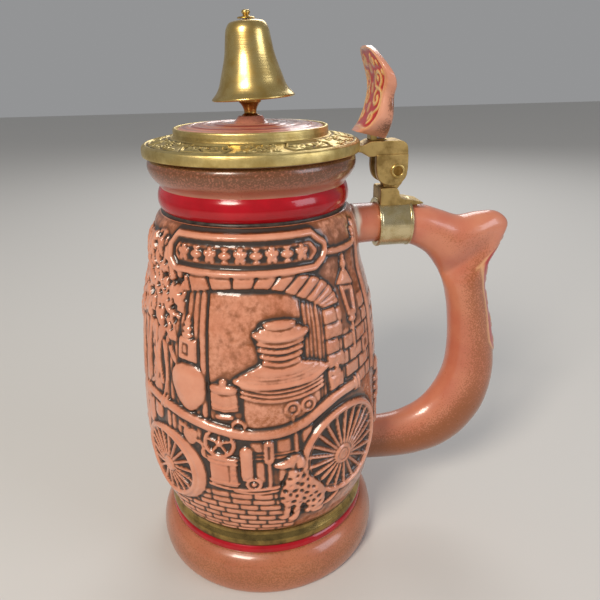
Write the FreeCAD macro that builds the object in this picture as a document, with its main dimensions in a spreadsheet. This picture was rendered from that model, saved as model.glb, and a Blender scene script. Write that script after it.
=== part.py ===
import FreeCAD, Part
import math
import os
import re
import Sketcher

# Lidded relief stein with a brass bell on its lid.
# Frame: origin on the mug's axis at the table, +Z up, handle and hinge towards +X, millimetres.

Vector = FreeCAD.Vector
doc = FreeCAD.newDocument("BeerStein")
sheet = doc.addObject("Spreadsheet::Sheet", "sizes")

drivingSizes = (
    # mug
    ("mug_height", 183.7, "table to the top of the drinking rim"),
    ("belly_radius", 52.0, "widest radius of the body's plain surface"),
    ("foot_radius", 50.0, "radius where the foot meets the table"),
    ("foot_round", 16.0, "radius of the foot's rolled edge"),
    ("foot_height", 19.5, "top of the rolled foot"),
    ("foot_recess", 3.0, "depth of the hollow under the foot"),
    ("foot_land", 8.0, "width of the ring that stands on the table"),
    ("waist_inset", 7.5, "how far the waist above the foot lies inside the belly"),
    ("waist_height", 28.5, "height of the waist"),
    ("rim_radius", 39.5, "outer radius at the drinking rim"),
    ("lip_bulge", 1.7, "how far the lip swells past the rim"),
    ("neck_inset", 2.5, "depth of the neck groove inside the rim radius"),
    ("torus_round", 8.0, "radius of the neck torus' outline"),
    ("wall", 6.5, "body wall"),
    ("rim_wall", 4.0, "wall at the rim"),
    ("floor_height", 10.0, "inside floor above the table"),
    ("relief_rise", 2.0, "how far the moulded relief stands above the body"),
    ("frame_width", 2.2, "width of the raised mouldings in the relief"),
    # handle
    ("arm_drop", 31.7, "rim down to the centre of the handle's upper arm"),
    ("arm_radius", 8.4, "radius of the upper arm"),
    ("low_arm_height", 41.0, "table to the centre of the lower arm"),
    ("reach_past_pin", 54.3, "hinge pin out to the back of the handle"),
    # hinge
    ("pin_radius", 1.9, "hinge pin"),
    ("pin_play", 0.05, "radial running clearance of the pin in the knuckle"),
    ("pin_past_lid", 15.95, "lid edge out to the hinge pin"),
    ("pin_drop", 9.2, "rim down to the hinge pin"),
    ("knuckle_radius", 5.5, "round top of the fixed knuckle"),
    ("knuckle_width", 5.0, "width of the fixed knuckle"),
    ("fork_play", 0.3, "side clearance between the knuckle and each fork cheek"),
    ("hinge_width", 12.0, "width of the post and of the fork"),
    ("boss_radius", 2.9, "raised ring round each end of the pin"),
    ("boss_rise", 0.5, "how far that ring stands out"),
    ("band_wall", 2.0, "thickness of the strap round the arm"),
    ("band_length", 14.5, "length of the strap along the arm"),
    ("band_fit", 0.2, "gap between the strap and the arm"),
    ("shank_height", 6.0, "height of the block that carries the lid"),
    ("shank_width", 10.8, "width of that block"),
    # lid
    ("lid_gap", 0.3, "rim to the underside of the lid"),
    ("lid_overhang", 3.65, "how far the lid ring stands past the rim"),
    ("lid_band", 4.0, "height of the ring's outer band"),
    ("lid_rise", 9.8, "underside of the lid to the top of its bezel"),
    ("inlay_radius", 29.1, "ceramic inlay"),
    ("inlay_play", 0.2, "radial gap between the inlay and its bezel"),
    ("inlay_bed", 6.2, "underside of the lid to the underside of the inlay"),
    ("inlay_rise", 5.3, "inlay underside to the top of its centre field"),
    ("bedding", 1.2, "thickness of the bedding under the inlay"),
    # thumb lift
    ("lift_width", 32.6, "widest part of the thumb lift"),
    ("lift_height", 36.0, "height of the thumb lift"),
    ("stem_thick", 2.6, "thickness of the metal stem in the thumb lift"),
    ("stem_width", 6.0, "width of that stem"),
    ("stem_play", 0.1, "gap between the stem and its socket"),
    # bell
    ("bell_mouth", 16.1, "radius of the bell at its lip"),
    ("bell_height", 27.6, "lip to crown"),
    ("bell_wall", 1.0, "wall of the bell"),
    ("bell_lift", 19.8, "underside of the lid to the bell's lip"),
    ("bell_tilt", 3.2, "degrees that the loose bell leans"),
    ("stud_radius", 1.1, "stud through the lid, the post and the bell"),
    ("stud_play", 0.6, "radial gap between the stud and the bell's crown hole"),
    ("washer_thick", 0.5, "washer that the bell hangs from"),
)
for row, (alias, value, meaning) in enumerate(drivingSizes, 1):
    sheet.set("A%d" % row, meaning)
    sheet.set("B%d" % row, str(value))
    sheet.setAlias("B%d" % row, alias)
doc.recompute()

# Places that several pieces share, each worked out from the sheet.
neckRadius = "(rim_radius - neck_inset)"
waistRadius = "(belly_radius - waist_inset)"
shoulderHeight = "(mug_height - 52.7)"
neckHeight = "(mug_height - 24.7)"
lidRadius = "(rim_radius + lid_overhang)"
lidBase = "(mug_height + lid_gap)"
pinPlace = "(rim_radius + lid_overhang + pin_past_lid)"
pinHeight = "(mug_height - pin_drop)"
armHeight = "(mug_height - arm_drop)"
handleBack = "(rim_radius + lid_overhang + pin_past_lid + reach_past_pin)"
strapRadius = "(arm_radius + band_fit + band_wall)"
postTop = "(mug_height - pin_drop - 7)"
blockBase = "(mug_height - 3.1)"
blockTop = "(mug_height - 3.1 + shank_height)"
inlayBase = "(mug_height + lid_gap + inlay_bed)"
inlayTop = "(mug_height + lid_gap + inlay_bed + inlay_rise)"
postBase = "(mug_height + lid_gap + inlay_bed + inlay_rise + 2.1)"
bellMouth = "(mug_height + lid_gap + bell_lift)"
bellCrown = "(mug_height + lid_gap + bell_lift + bell_height)"
washerTop = "(mug_height + lid_gap + bell_lift + bell_height - bell_wall - 0.3)"
liftBase = "(mug_height - 3.1 + shank_height + 0.7)"


def bound(expression):
    return re.sub(r"\b([a-z]\w*)\b(?!\()", r"sizes.\1", str(expression))


def size(expression):
    return float(sheet.evalExpression(bound(expression)))


def newBody(label):
    body = doc.addObject("PartDesign::Body", label)
    body.Label = label
    return body


def newSketch(body, name, role, offset="0", turn=0.0):
    """A sketch on one of the body's origin planes, moved along its normal or turned about its up axis."""
    sketch = body.newObject("Sketcher::SketchObject", name)
    plane = [feature for feature in body.Origin.OriginFeatures if feature.Role == role][0]
    sketch.AttachmentSupport = (plane, [""])
    sketch.MapMode = "FlatFace"
    turned = FreeCAD.Rotation(Vector(0, 1, 0), turn)
    sketch.AttachmentOffset = FreeCAD.Placement(Vector(0, 0, size(offset)), turned)
    sketch.setExpression("AttachmentOffset.Base.z", bound(offset))
    return sketch


def bindPlace(sketch, edge, end, across, up):
    """Ties one end or centre in a sketch to the sheet, across and up from the sketch's origin."""
    for kind, expression, axis in (("DistanceX", across, -2), ("DistanceY", up, -1)):
        value = size(expression)
        if abs(value) < 1e-9:
            sketch.addConstraint(Sketcher.Constraint("PointOnObject", edge, end, axis))
        else:
            index = sketch.addConstraint(Sketcher.Constraint(kind, -1, 1, edge, end, value))
            sketch.setExpression("Constraints[%d]" % index, bound(expression))


def bindRadius(sketch, edge, radius):
    index = sketch.addConstraint(Sketcher.Constraint("Radius", edge, size(radius)))
    sketch.setExpression("Constraints[%d]" % index, bound(radius))


def addOutline(sketch, corners):
    """A closed outline, counter-clockwise. A corner with a radius starts an arc.

    A radius above zero swells the outline outwards, one below zero dips it in.
    """
    places = [Vector(size(corner[0]), size(corner[1]), 0) for corner in corners]
    first = sketch.GeometryCount
    ends = []
    for index, corner in enumerate(corners):
        start, stop = places[index], places[(index + 1) % len(places)]
        if len(corner) < 3:
            sketch.addGeometry(Part.LineSegment(start, stop))
            ends.append((1, 2))
            continue
        radius, swells = size(corner[2]), not str(corner[2]).startswith("-")
        radius = abs(radius)
        along = stop - start
        left = Vector(-along.y, along.x, 0).normalize()
        inset = math.sqrt(radius ** 2 - along.Length ** 2 / 4)
        centre = (start + stop) * 0.5 + left * (inset if swells else -inset)
        angles = [math.atan2(point.y - centre.y, point.x - centre.x) for point in (start, stop)]
        if not swells:
            angles.reverse()
        circle = Part.Circle(centre, Vector(0, 0, 1), radius)
        sketch.addGeometry(Part.ArcOfCircle(circle, angles[0], angles[1]))
        ends.append((1, 2) if swells else (2, 1))
    count = len(corners)
    for index, corner in enumerate(corners):
        following = (index + 1) % count
        joined = (first + index, ends[index][1], first + following, ends[following][0])
        sketch.addConstraint(Sketcher.Constraint("Coincident", *joined))
        bindPlace(sketch, first + index, ends[index][0], corner[0], corner[1])
        if len(corner) > 2:
            bindRadius(sketch, first + index, str(corner[2]).lstrip("-"))


def addCircle(sketch, across, up, radius):
    centre = Vector(size(across), size(up), 0)
    edge = sketch.addGeometry(Part.Circle(centre, Vector(0, 0, 1), size(radius)))
    bindPlace(sketch, edge, 3, across, up)
    bindRadius(sketch, edge, radius)


def addBox(sketch, left, bottom, right, top):
    addOutline(sketch, [(left, bottom), (right, bottom), (right, top), (left, top)])


def revolve(body, name, corners, cut=False):
    """Turns an outline in the XZ plane about the Z axis, to add it or to cut it away."""
    sketch = newSketch(body, name + "_outline", "XZ_Plane")
    addOutline(sketch, corners)
    feature = body.newObject("PartDesign::Groove" if cut else "PartDesign::Revolution", name)
    feature.Profile = sketch
    feature.ReferenceAxis = (sketch, ["V_Axis"])
    feature.Angle = 360
    return feature


def extrude(body, name, sketch, length, cut=False, centred=True, backwards=False):
    feature = body.newObject("PartDesign::Pocket" if cut else "PartDesign::Pad", name)
    feature.Profile = sketch
    feature.setExpression("Length", bound(length))
    feature.Midplane = centred
    feature.Reversed = backwards
    return feature


def sideOutline(body, name, corners, width, cut=False):
    """An outline seen from the side, as thick as width about the XZ plane."""
    sketch = newSketch(body, name + "_outline", "XZ_Plane")
    addOutline(sketch, corners)
    return extrude(body, name, sketch, width, cut)


def outerWall(extra):
    """The body's outline from the waist to the neck, moved outwards by extra."""
    belly = "belly_radius + " + extra
    return [
        (waistRadius + " + " + extra, "waist_height", "73.7 + " + extra),
        (belly, "waist_height + 29.5", "420"),
        (belly + " - 1.8", "(waist_height + " + shoulderHeight + ") / 2 + 27.3", "105.7"),
        ("(belly_radius + rim_radius) / 2 + 0.75 + " + extra, shoulderHeight, "-47"),
        ("rim_radius + 3.2 + " + extra, neckHeight + " - 11", "27.5"),
        ("rim_radius + " + extra, neckHeight),
    ]


# Relief figures: name, degrees round from the front towards the handle, and what is raised.
def reliefFigure(body, name, turn, draw):
    sketch = newSketch(body, name + "_outline", "XZ_Plane", turn=turn)
    draw(sketch)
    return extrude(body, name, sketch, "belly_radius + relief_rise + 1", centred=False)


def drawPlaque(sketch):
    """Long octagonal plaque under the neck, a frame round a plain field."""
    for inset in ("0", "frame_width"):
        half, tip = "27 - " + inset, "30 - 1.3 * " + inset
        low, high = shoulderHeight + " + 13.7 + " + inset, shoulderHeight + " + 25.9 - " + inset
        middle = shoulderHeight + " + 19.8"
        corners = [("-(" + half + ")", low), (half, low), (tip, middle)]
        corners += [(half, high), ("-(" + half + ")", high), ("-(" + tip + ")", middle)]
        addOutline(sketch, corners)


def drawArch(sketch):
    """Flat stone arch over the engine."""
    springing = shoulderHeight + " + 3"
    addOutline(sketch, [
        ("33", springing, "60"),
        ("-33", springing),
        ("-29", springing + " - frame_width", "-60"),
        ("29", springing + " - frame_width"),
    ])


def drawBoiler(sketch):
    """Engine boiler: drum, shoulder, neck and dome cap."""
    base = "waist_height + 55"
    corners = [("-17", base), ("17", base), ("17", base + " + 22"), ("11.5", base + " + 28.5")]
    corners += [("10.5", base + " + 40"), ("8", base + " + 47.5"), ("-8", base + " + 47.5")]
    corners += [("-10.5", base + " + 40"), ("-11.5", base + " + 28.5"), ("-17", base + " + 22")]
    addOutline(sketch, corners)


def drawWheel(sketch):
    """Spoked road wheel: tyre and hub."""
    height = "waist_height + 37"
    addCircle(sketch, "0", height, "20.5")
    addCircle(sketch, "0", height, "20.5 - 1.6 * frame_width")
    addCircle(sketch, "0", height, "2 * frame_width")


def drawTree(sketch):
    """Crown of the tree beside the arch."""
    base, top = shoulderHeight + " - 7", shoulderHeight + " + 27"
    addOutline(sketch, [("-14", base, "20"), ("14", base, "34"), ("13", top, "18"), ("-13", top, "34")])


reliefFigures = (
    ("plaque", -9, drawPlaque),
    ("arch", -8, drawArch),
    ("boiler", 4, drawBoiler),
    ("left_wheel", -52, drawWheel),
    ("right_wheel", 36, drawWheel),
    ("left_tree", -78, drawTree),
    ("back_tree", -140, drawTree),
    ("back_plaque", 180, drawPlaque),
    ("back_wheel", 162, drawWheel),
)


def makeMug():
    """Thrown body in one piece: foot, belly with relief, neck torus, flared lip, hollow inside."""
    body = newBody("mug_body")
    bottom = [
        ("0", "foot_recess"),
        ("foot_radius - foot_land - 1", "foot_recess"),
        ("foot_radius - foot_land", "0"),
        ("foot_radius", "0", "foot_round"),
        (waistRadius + " + 1.8", "foot_height"),
        (waistRadius + " + 0.6", "foot_height + 2.5"),
        (waistRadius + " + 0.6", "foot_height + 3.5", "3.4"),
    ]
    top = [
        (neckRadius, neckHeight + " + 0.6"),
        (neckRadius, neckHeight + " + 2", "torus_round"),
        (neckRadius + " + 0.2", neckHeight + " + 11.5"),
        (neckRadius + " + 0.5", neckHeight + " + 12.5", "-6"),
        ("rim_radius + lip_bulge - 0.4", "mug_height - 8", "9.8"),
        ("rim_radius", "mug_height - 0.8", "1.2"),
        ("rim_radius - 1", "mug_height"),
        ("0", "mug_height"),
    ]
    turned = revolve(body, "turned", bottom + outerWall("0") + top)
    for name, turn, draw in reliefFigures:
        reliefFigure(body, name, turn, draw)
    beyond = "2 * belly_radius"
    envelope = outerWall("relief_rise")
    trim = [(beyond, "waist_height"), (beyond, neckHeight)]
    for upper, lower in zip(envelope[:0:-1], envelope[-2::-1]):
        radius = lower[2]
        trim.append((upper[0], upper[1], radius[1:] if radius.startswith("-") else "-" + radius))
    trim.append((envelope[0][0], envelope[0][1]))
    revolve(body, "relief_trim", trim, cut=True)
    bore = [
        ("0", "floor_height"),
        (waistRadius + " - wall - 6", "floor_height", "8"),
        (waistRadius + " - wall", "floor_height + 8"),
        (waistRadius + " - wall", "waist_height", "73.7 - wall"),
        ("belly_radius - wall", "waist_height + 29.5"),
        ("belly_radius - wall - 2", shoulderHeight + " - 24"),
        (neckRadius + " - rim_wall", neckHeight),
        (neckRadius + " - rim_wall", neckHeight + " + 11.5"),
        ("rim_radius - rim_wall", "mug_height - 2", "-2.5"),
        ("rim_radius - rim_wall + 1.2", "mug_height + 1"),
        ("0", "mug_height + 1"),
    ]
    revolve(body, "bore", bore, cut=True)
    return turned


def handleSection(across, up, lean, thick, wide):
    """An ellipse square to the handle's run, thick in the side view and wide along Y.

    Its outer side leans from upright by the given angle.
    """
    angle = math.radians(lean)
    outward = Vector(math.sin(angle), 0, math.cos(angle)) * thick
    sideways = Vector(0, 1, 0) * wide
    along = Vector(math.cos(angle), 0, -math.sin(angle))
    columns = zip(outward, sideways, along, Vector(across, 0, up))
    matrix = FreeCAD.Matrix(*[value for column in columns for value in column])
    circle = Part.Circle(Vector(0, 0, 0), Vector(0, 0, 1), 1).toShape()
    return Part.Wire(circle.transformGeometry(matrix).Edges)


def makeHandle(mugTurned):
    """Hand-pulled handle with both ends seated on the mug.

    A straight upper arm, a scrolled back and a tapering lower arm.
    """
    # place of each section: height anchor, inwards from the back, up from the anchor,
    # lean of the section in degrees, half thickness and half width
    sections = (
        (armHeight, size("reach_past_pin") - 6.9, 0, 0, "arm_radius", "arm_radius"),
        (armHeight, 41.8, -3.1, 15, "arm_radius + 0.8", "arm_radius"),
        (armHeight, 31.1, -8.0, 32, "arm_radius + 2.5", "arm_radius + 0.4"),
        (armHeight, 24.0, -14.2, 45, "arm_radius + 3.6", "arm_radius + 0.8"),
        (armHeight, 18.9, -24.5, 62, "arm_radius + 2.2", "arm_radius + 1"),
        (armHeight, 17.6, -34.0, 77, "arm_radius + 0.6", "arm_radius + 1"),
        ("low_arm_height", 12.7, 53, 90, "arm_radius + 2.4", "arm_radius + 1.4"),
        ("low_arm_height", 12.1, 37.8, 93, "arm_radius + 3.7", "arm_radius + 1.6"),
        ("low_arm_height", 14.5, 24.8, 103, "arm_radius + 5", "arm_radius + 1.6"),
        ("low_arm_height", 20.4, 13.2, 119, "arm_radius + 5.8", "arm_radius + 1.4"),
        ("low_arm_height", 31.3, 3.8, 141, "arm_radius + 5.6", "arm_radius + 1"),
        ("low_arm_height", 43.0, 0.4, 161, "arm_radius + 4.2", "arm_radius + 0.6"),
        ("low_arm_height", 54.0, -0.1, 178, "arm_radius + 3", "arm_radius + 0.4"),
        ("low_arm_height", 72.0, 0, 180, "arm_radius + 3", "arm_radius + 0.4"),
    )
    back = size(handleBack)
    scroll = Part.makeLoft([
        handleSection(back - inwards, size(anchor) + up, lean, size(thick), size(wide))
        for anchor, inwards, up, lean, thick, wide in sections
    ], True, False)
    armStart, armEnd = size(neckRadius) - 4, size(pinPlace) + 6.9
    armBase = Vector(armStart, 0, size(armHeight))
    arm = Part.makeCylinder(size("arm_radius"), armEnd - armStart, armBase, Vector(1, 0, 0))
    tipRadius = 4.9
    tip = Vector(back - tipRadius + 0.2, 0, size(armHeight) - 2.1)
    root = tip + Vector(-16.7, 0, -9.9)
    lean = math.degrees(math.atan2(root.z - tip.z, tip.x - root.x))
    spur = Part.makeLoft([
        handleSection(root.x, root.z, lean, size("arm_radius + 4.1"), size("arm_radius")),
        handleSection(tip.x, tip.z, lean, tipRadius, tipRadius),
    ], True, True)
    shape = scroll.fuse([arm, spur, Part.makeSphere(tipRadius, tip)]).cut(mugTurned.Shape)
    shape = max(shape.Solids, key=lambda solid: solid.Volume)
    handle = doc.addObject("Part::Feature", "handle")
    handle.Label = "handle"
    handle.Shape = shape
    handle.Placement = FreeCAD.Placement()


def makeHingeBracket():
    """One casting: strap round the arm, post, tang on the arm and the knuckle that the lid turns on."""
    body = newBody("hinge_bracket")
    strapStart = pinPlace + " - 7.6"
    strap = newSketch(body, "strap_outline", "YZ_Plane", strapStart)
    addCircle(strap, "0", armHeight, strapRadius)
    extrude(body, "strap", strap, "band_length", centred=False)
    postLeft, postRight = pinPlace + " - 6.9", pinPlace + " + 1.4"
    tangTop = armHeight + " + arm_radius + 3.4"
    post = [
        (postLeft, armHeight),
        (pinPlace + " + 12", armHeight),
        (pinPlace + " + 12", armHeight + " + arm_radius + 0.9"),
        (pinPlace + " + 2.9", tangTop),
        (postRight, postTop),
        (postLeft, postTop),
    ]
    sideOutline(body, "post", post, "hinge_width")
    knuckle = [
        (pinPlace + " - 4.6", postTop + " - 1"),
        (pinPlace + " + 1.4", postTop + " - 1"),
        (pinPlace + " + knuckle_radius", pinHeight, "knuckle_radius"),
        (pinPlace, pinHeight + " + knuckle_radius", "knuckle_radius"),
        (pinPlace + " - knuckle_radius", pinHeight),
    ]
    sideOutline(body, "knuckle", knuckle, "knuckle_width")
    armBore = newSketch(body, "arm_bore_outline", "YZ_Plane", strapStart + " - 1")
    addCircle(armBore, "0", armHeight, "arm_radius + band_fit")
    extrude(body, "arm_bore", armBore, "3 * band_length", cut=True, centred=False, backwards=True)
    below = newSketch(body, "below_outline", "YZ_Plane", strapStart + " + band_length")
    tangUnderside = armHeight + " + arm_radius - 1.4"
    addBox(below, "-2 * arm_radius", armHeight + " - arm_radius", "2 * arm_radius", tangUnderside)
    extrude(body, "below_tang", below, "2 * band_length", cut=True, centred=False, backwards=True)
    pinBore = newSketch(body, "pin_bore_outline", "XZ_Plane")
    addCircle(pinBore, pinPlace, pinHeight, "pin_radius + pin_play")
    extrude(body, "pin_bore", pinBore, "2 * knuckle_width", cut=True)


def makeShank():
    """Lid side of the hinge: fork with two cheeks, block, and the bar soldered to the lid ring."""
    body = newBody("lid_shank")
    left, right = pinPlace + " - 9.1", pinPlace + " + 4.4"
    cheeks = [
        (left, pinHeight, "8.7"),
        (pinPlace + " - 2.6", pinHeight + " - 5.4", "9.2"),
        (right, pinHeight + " + 0.5"),
        (right, blockBase),
        (left, blockBase),
    ]
    sideOutline(body, "cheeks", cheeks, "hinge_width")
    bosses = newSketch(body, "bosses_outline", "XZ_Plane")
    addCircle(bosses, pinPlace, pinHeight, "boss_radius")
    extrude(body, "bosses", bosses, "hinge_width + 2 * boss_rise")
    block = [
        (lidRadius + " - 2", blockTop + " - 4.3"),
        (lidRadius + " + 0.9", blockTop + " - 4.3"),
        (lidRadius + " + 4", blockBase + " - 0.2"),
        (right, blockBase + " - 0.2"),
        (right, blockTop + " - 3", "3"),
        (right + " - 3", blockTop),
        (lidRadius + " + 4.6", blockTop),
        (lidRadius + " + 1.2", blockTop + " - 1.6"),
        (lidRadius + " - 2", blockTop + " - 1.6"),
    ]
    sideOutline(body, "block", block, "shank_width")
    slot = newSketch(body, "slot_outline", "YZ_Plane", lidRadius)
    half = "(knuckle_width / 2 + fork_play)"
    addBox(slot, "-" + half, postTop + " - 4", half, blockBase)
    extrude(body, "slot", slot, "2 * pin_past_lid", cut=True, centred=False, backwards=True)
    seat = newSketch(body, "lid_seat_outline", "XY_Plane", postTop)
    addCircle(seat, "0", "0", lidRadius)
    extrude(body, "lid_seat", seat, "5 * shank_height", cut=True, centred=False, backwards=True)
    pinHole = newSketch(body, "pin_hole_outline", "XZ_Plane")
    addCircle(pinHole, pinPlace, pinHeight, "pin_radius")
    extrude(body, "pin_hole", pinHole, "2 * hinge_width", cut=True)


def makePin():
    body = newBody("hinge_pin")
    sketch = newSketch(body, "pin_outline", "XZ_Plane")
    addCircle(sketch, pinPlace, pinHeight, "pin_radius")
    extrude(body, "pin", sketch, "hinge_width + boss_rise")


def makeLidRing():
    """Metal ring with a straight outer band, an ornamented slope and a bezel that holds the inlay."""
    body = newBody("lid_ring")
    bezel = "inlay_radius + inlay_play"
    ring = [
        (neckRadius + " - rim_wall", lidBase),
        (lidRadius, lidBase),
        (lidRadius + " - 0.5", lidBase + " + lid_band", "60"),
        (bezel + " + 1.4", lidBase + " + lid_rise - 2.4"),
        (bezel + " + 1.1", lidBase + " + lid_rise - 0.4", "0.7"),
        (bezel, lidBase + " + lid_rise"),
        (bezel, inlayBase + " - bedding"),
        (bezel + " - 3", inlayBase + " - bedding"),
        (bezel + " - 3", inlayBase + " - bedding - 1.6"),
        (neckRadius + " - rim_wall - 1", lidBase + " + 2"),
    ]
    revolve(body, "ring", ring)


def makeInlay():
    """Round ceramic inlay with moulded ridges and a low pedestal, on a ring of bedding."""
    bedding = newBody("inlay_bedding")
    inner = "inlay_radius + inlay_play - 3"
    bed = [
        (inner, inlayBase + " - bedding"),
        ("inlay_radius", inlayBase + " - bedding"),
        ("inlay_radius", inlayBase),
        (inner, inlayBase),
    ]
    revolve(bedding, "bed", bed)
    body = newBody("lid_inlay")
    hole = "(stud_radius + 0.1)"
    disc = [
        (hole, inlayBase),
        ("inlay_radius", inlayBase),
        ("inlay_radius", inlayTop + " - 2.6", "1.2"),
        ("inlay_radius - 1.4", inlayTop + " - 1.6"),
        ("inlay_radius - 6", inlayTop + " - 1.6"),
        ("inlay_radius - 6.6", inlayTop + " - 1"),
        ("0.5 * inlay_radius", inlayTop + " - 0.6"),
        ("0.5 * inlay_radius - 0.6", inlayTop),
        ("6.5", inlayTop),
        ("4.9", postBase),
        (hole, postBase),
    ]
    revolve(body, "disc", disc)


def makeThumbLift():
    """Ceramic shield-shaped thumb lift, cut to one outline from the side and another from the front."""
    stemLeft = lidRadius + " + 4.9"
    socketTop = liftBase + " + 9"
    body = newBody("thumb_lift")
    side = [
        (lidRadius + " + 11.1", liftBase),
        (lidRadius + " + 13", liftBase + " + 10.2", "-20"),
        (lidRadius + " + 13.2", liftBase + " + 21.8", "8"),
        (lidRadius + " + 9.6", liftBase + " + 26.6", "-60"),
        (lidRadius + " + 3.9", liftBase + " + lift_height - 0.5", "1.6"),
        (lidRadius + " + 1.7", liftBase + " + lift_height - 2.4", "-45"),
        (lidRadius + " + 5.5", liftBase + " + 22", "30"),
        (lidRadius + " + 3.2", liftBase + " + 9.4", "-30"),
        (lidRadius + " - 2.2", liftBase + " + 3.4"),
    ]
    sideOutline(body, "side", side, "lift_width")
    front = newSketch(body, "front_outline", "YZ_Plane")
    half = "lift_width / 2"
    addBox(front, "-lift_width", liftBase + " - 5", "lift_width", liftBase + " + 2 * lift_height")
    addOutline(front, [
        ("-6", liftBase + " - 1"),
        ("6", liftBase + " - 1"),
        (half + " - 2.6", liftBase + " + 8.6"),
        (half + " - 3", liftBase + " + 16.4", "-16"),
        (half + " - 0.4", liftBase + " + 21.6", "2.6"),
        (half + " - 1.6", liftBase + " + 25.2", "24"),
        ("3.4", liftBase + " + 33.2", "-14"),
        ("0", liftBase + " + lift_height + 0.5", "-14"),
        ("-3.4", liftBase + " + 33.2", "24"),
        ("-(" + half + " - 1.6)", liftBase + " + 25.2", "2.6"),
        ("-(" + half + " - 0.4)", liftBase + " + 21.6", "-16"),
        ("-(" + half + " - 3)", liftBase + " + 16.4"),
        ("-(" + half + " - 2.6)", liftBase + " + 8.6"),
    ])
    extrude(body, "front", front, "4 * belly_radius", cut=True)
    socket = newSketch(body, "socket_outline", "YZ_Plane", stemLeft + " - stem_play")
    halfStem = "(stem_width / 2 + stem_play)"
    addBox(socket, "-" + halfStem, liftBase + " - 2", halfStem, socketTop + " + stem_play")
    extrude(body, "socket", socket, "stem_thick + 2 * stem_play", cut=True, centred=False, backwards=True)
    stemBody = newBody("thumb_stem")
    stem = [
        (stemLeft, blockTop),
        (stemLeft + " + 7", blockTop),
        (stemLeft + " + 7", blockTop + " + 0.6"),
        (stemLeft + " + stem_thick", blockTop + " + 0.6"),
        (stemLeft + " + stem_thick", socketTop),
        (stemLeft, socketTop),
    ]
    sideOutline(stemBody, "stem", stem, "stem_width")


def makeBellPost():
    """Flared post on the inlay, the stud through it, and its washer and nut under the lid."""
    post = newBody("bell_post")
    hole = "(stud_radius + 0.05)"
    flare = [
        (hole, postBase),
        ("3.6", postBase),
        ("2.4", postBase + " + 0.8", "-5"),
        ("4.4", postBase + " + 5"),
        ("4.4", postBase + " + 6", "4.6"),
        ("1.9", bellMouth + " + 3.4"),
        ("1.9", washerTop + " - washer_thick - 0.1"),
        (hole, washerTop + " - washer_thick - 0.1"),
    ]
    revolve(post, "flare", flare)
    stud = newBody("bell_stud")
    underside = inlayBase + " - 4.4"
    studTop = bellCrown + " + 1.4"
    rod = [("0", underside), ("stud_radius", underside), ("stud_radius", studTop), ("0", studTop)]
    revolve(stud, "rod", rod)
    washer = newBody("stud_washer")
    washerBase = inlayBase + " - 0.9"
    disc = [(hole, washerBase), ("5", washerBase), ("5", inlayBase), (hole, inlayBase)]
    revolve(washer, "washer", disc)
    nut = newBody("stud_nut")
    sketch = newSketch(nut, "hexagon_outline", "XY_Plane", washerBase)
    reach = "2.75 / cos(30)"
    corners = [(reach + " * cos(%d)" % angle, reach + " * sin(%d)" % angle) for angle in range(30, 390, 60)]
    addOutline(sketch, corners)
    addCircle(sketch, "0", "0", "stud_radius + 0.05")
    extrude(nut, "hexagon", sketch, "2.4", centred=False, backwards=True)


def makeBell():
    """Bell hung loosely from a washer under the knob, with the small lean that its play allows."""
    washer = newBody("bell_washer")
    hole = "(stud_radius + 0.1)"
    revolve(washer, "disc", [
        (hole, washerTop + " - washer_thick"),
        ("2.6", washerTop + " - washer_thick"),
        ("2.6", washerTop),
        (hole, washerTop),
    ])
    knob = newBody("bell_knob")
    base = bellCrown + " + 0.4"
    revolve(knob, "button", [
        ("0", base + " + 1"),
        ("stud_radius", base + " + 1"),
        ("stud_radius", base),
        ("3.4", base),
        ("3.2", base + " + 0.6"),
        ("1.15", base + " + 0.9"),
        ("1.15", base + " + 1.4", "1.3"),
        ("1.0", base + " + 3"),
        ("0", base + " + 3.1"),
    ])
    bell = newBody("bell")
    crownHole = "stud_radius + stud_play"
    lip = "-bell_height"
    revolve(bell, "shell", [
        (crownHole, "-bell_wall"),
        ("bell_mouth - 10.6", "-bell_wall", "-1.2"),
        ("bell_mouth - 8.9 - bell_wall", lip + " + 25", "60"),
        ("bell_mouth - 6.9 - bell_wall", lip + " + 15.6", "40"),
        ("bell_mouth - 3.8 - bell_wall", lip + " + 6.4", "12"),
        ("bell_mouth - 0.6 - bell_wall", lip + " + 0.6"),
        ("bell_mouth - 1.2", lip),
        ("bell_mouth", lip, "0.9"),
        ("bell_mouth - 0.6", lip + " + 0.9", "-12"),
        ("bell_mouth - 3.8", lip + " + 6.4", "-40"),
        ("bell_mouth - 6.9", lip + " + 15.6", "-60"),
        ("bell_mouth - 8.9", lip + " + 25.6", "1.6"),
        ("bell_mouth - 10", "0"),
        (crownHole, "0"),
    ])
    lean = FreeCAD.Rotation(Vector(0, -1, 0), size("bell_tilt"))
    bell.Placement = FreeCAD.Placement(Vector(0, 0, size(bellCrown)), lean)
    bell.setExpression("Placement.Base.z", bound(bellCrown))
    bell.setExpression("Placement.Rotation.Angle", bound("bell_tilt"))


mugTurned = makeMug()
doc.recompute()
makeHandle(mugTurned)
makeHingeBracket()
makeShank()
makePin()
makeLidRing()
makeInlay()
makeThumbLift()
makeBellPost()
makeBell()
doc.recompute()

pieces = [item for item in doc.Objects if item.TypeId in ("PartDesign::Body", "Part::Feature")]
for item in doc.Objects:
    if "Invalid" in item.State or "Error" in item.State:
        raise RuntimeError("%s was not built" % item.Name)
for piece in pieces:
    if piece.Shape.isNull() or not piece.Shape.isValid():
        raise RuntimeError("%s has no valid shape" % piece.Label)

os.makedirs("parts", exist_ok=True)
for piece in pieces:
    piece.Shape.exportStep("parts/%s.step" % piece.Label)
    print(piece.Label, round(piece.Shape.Volume, 1), len(piece.Shape.Solids))
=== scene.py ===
import math
import bpy
import numpy as np
from mathutils import Matrix, Vector


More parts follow.
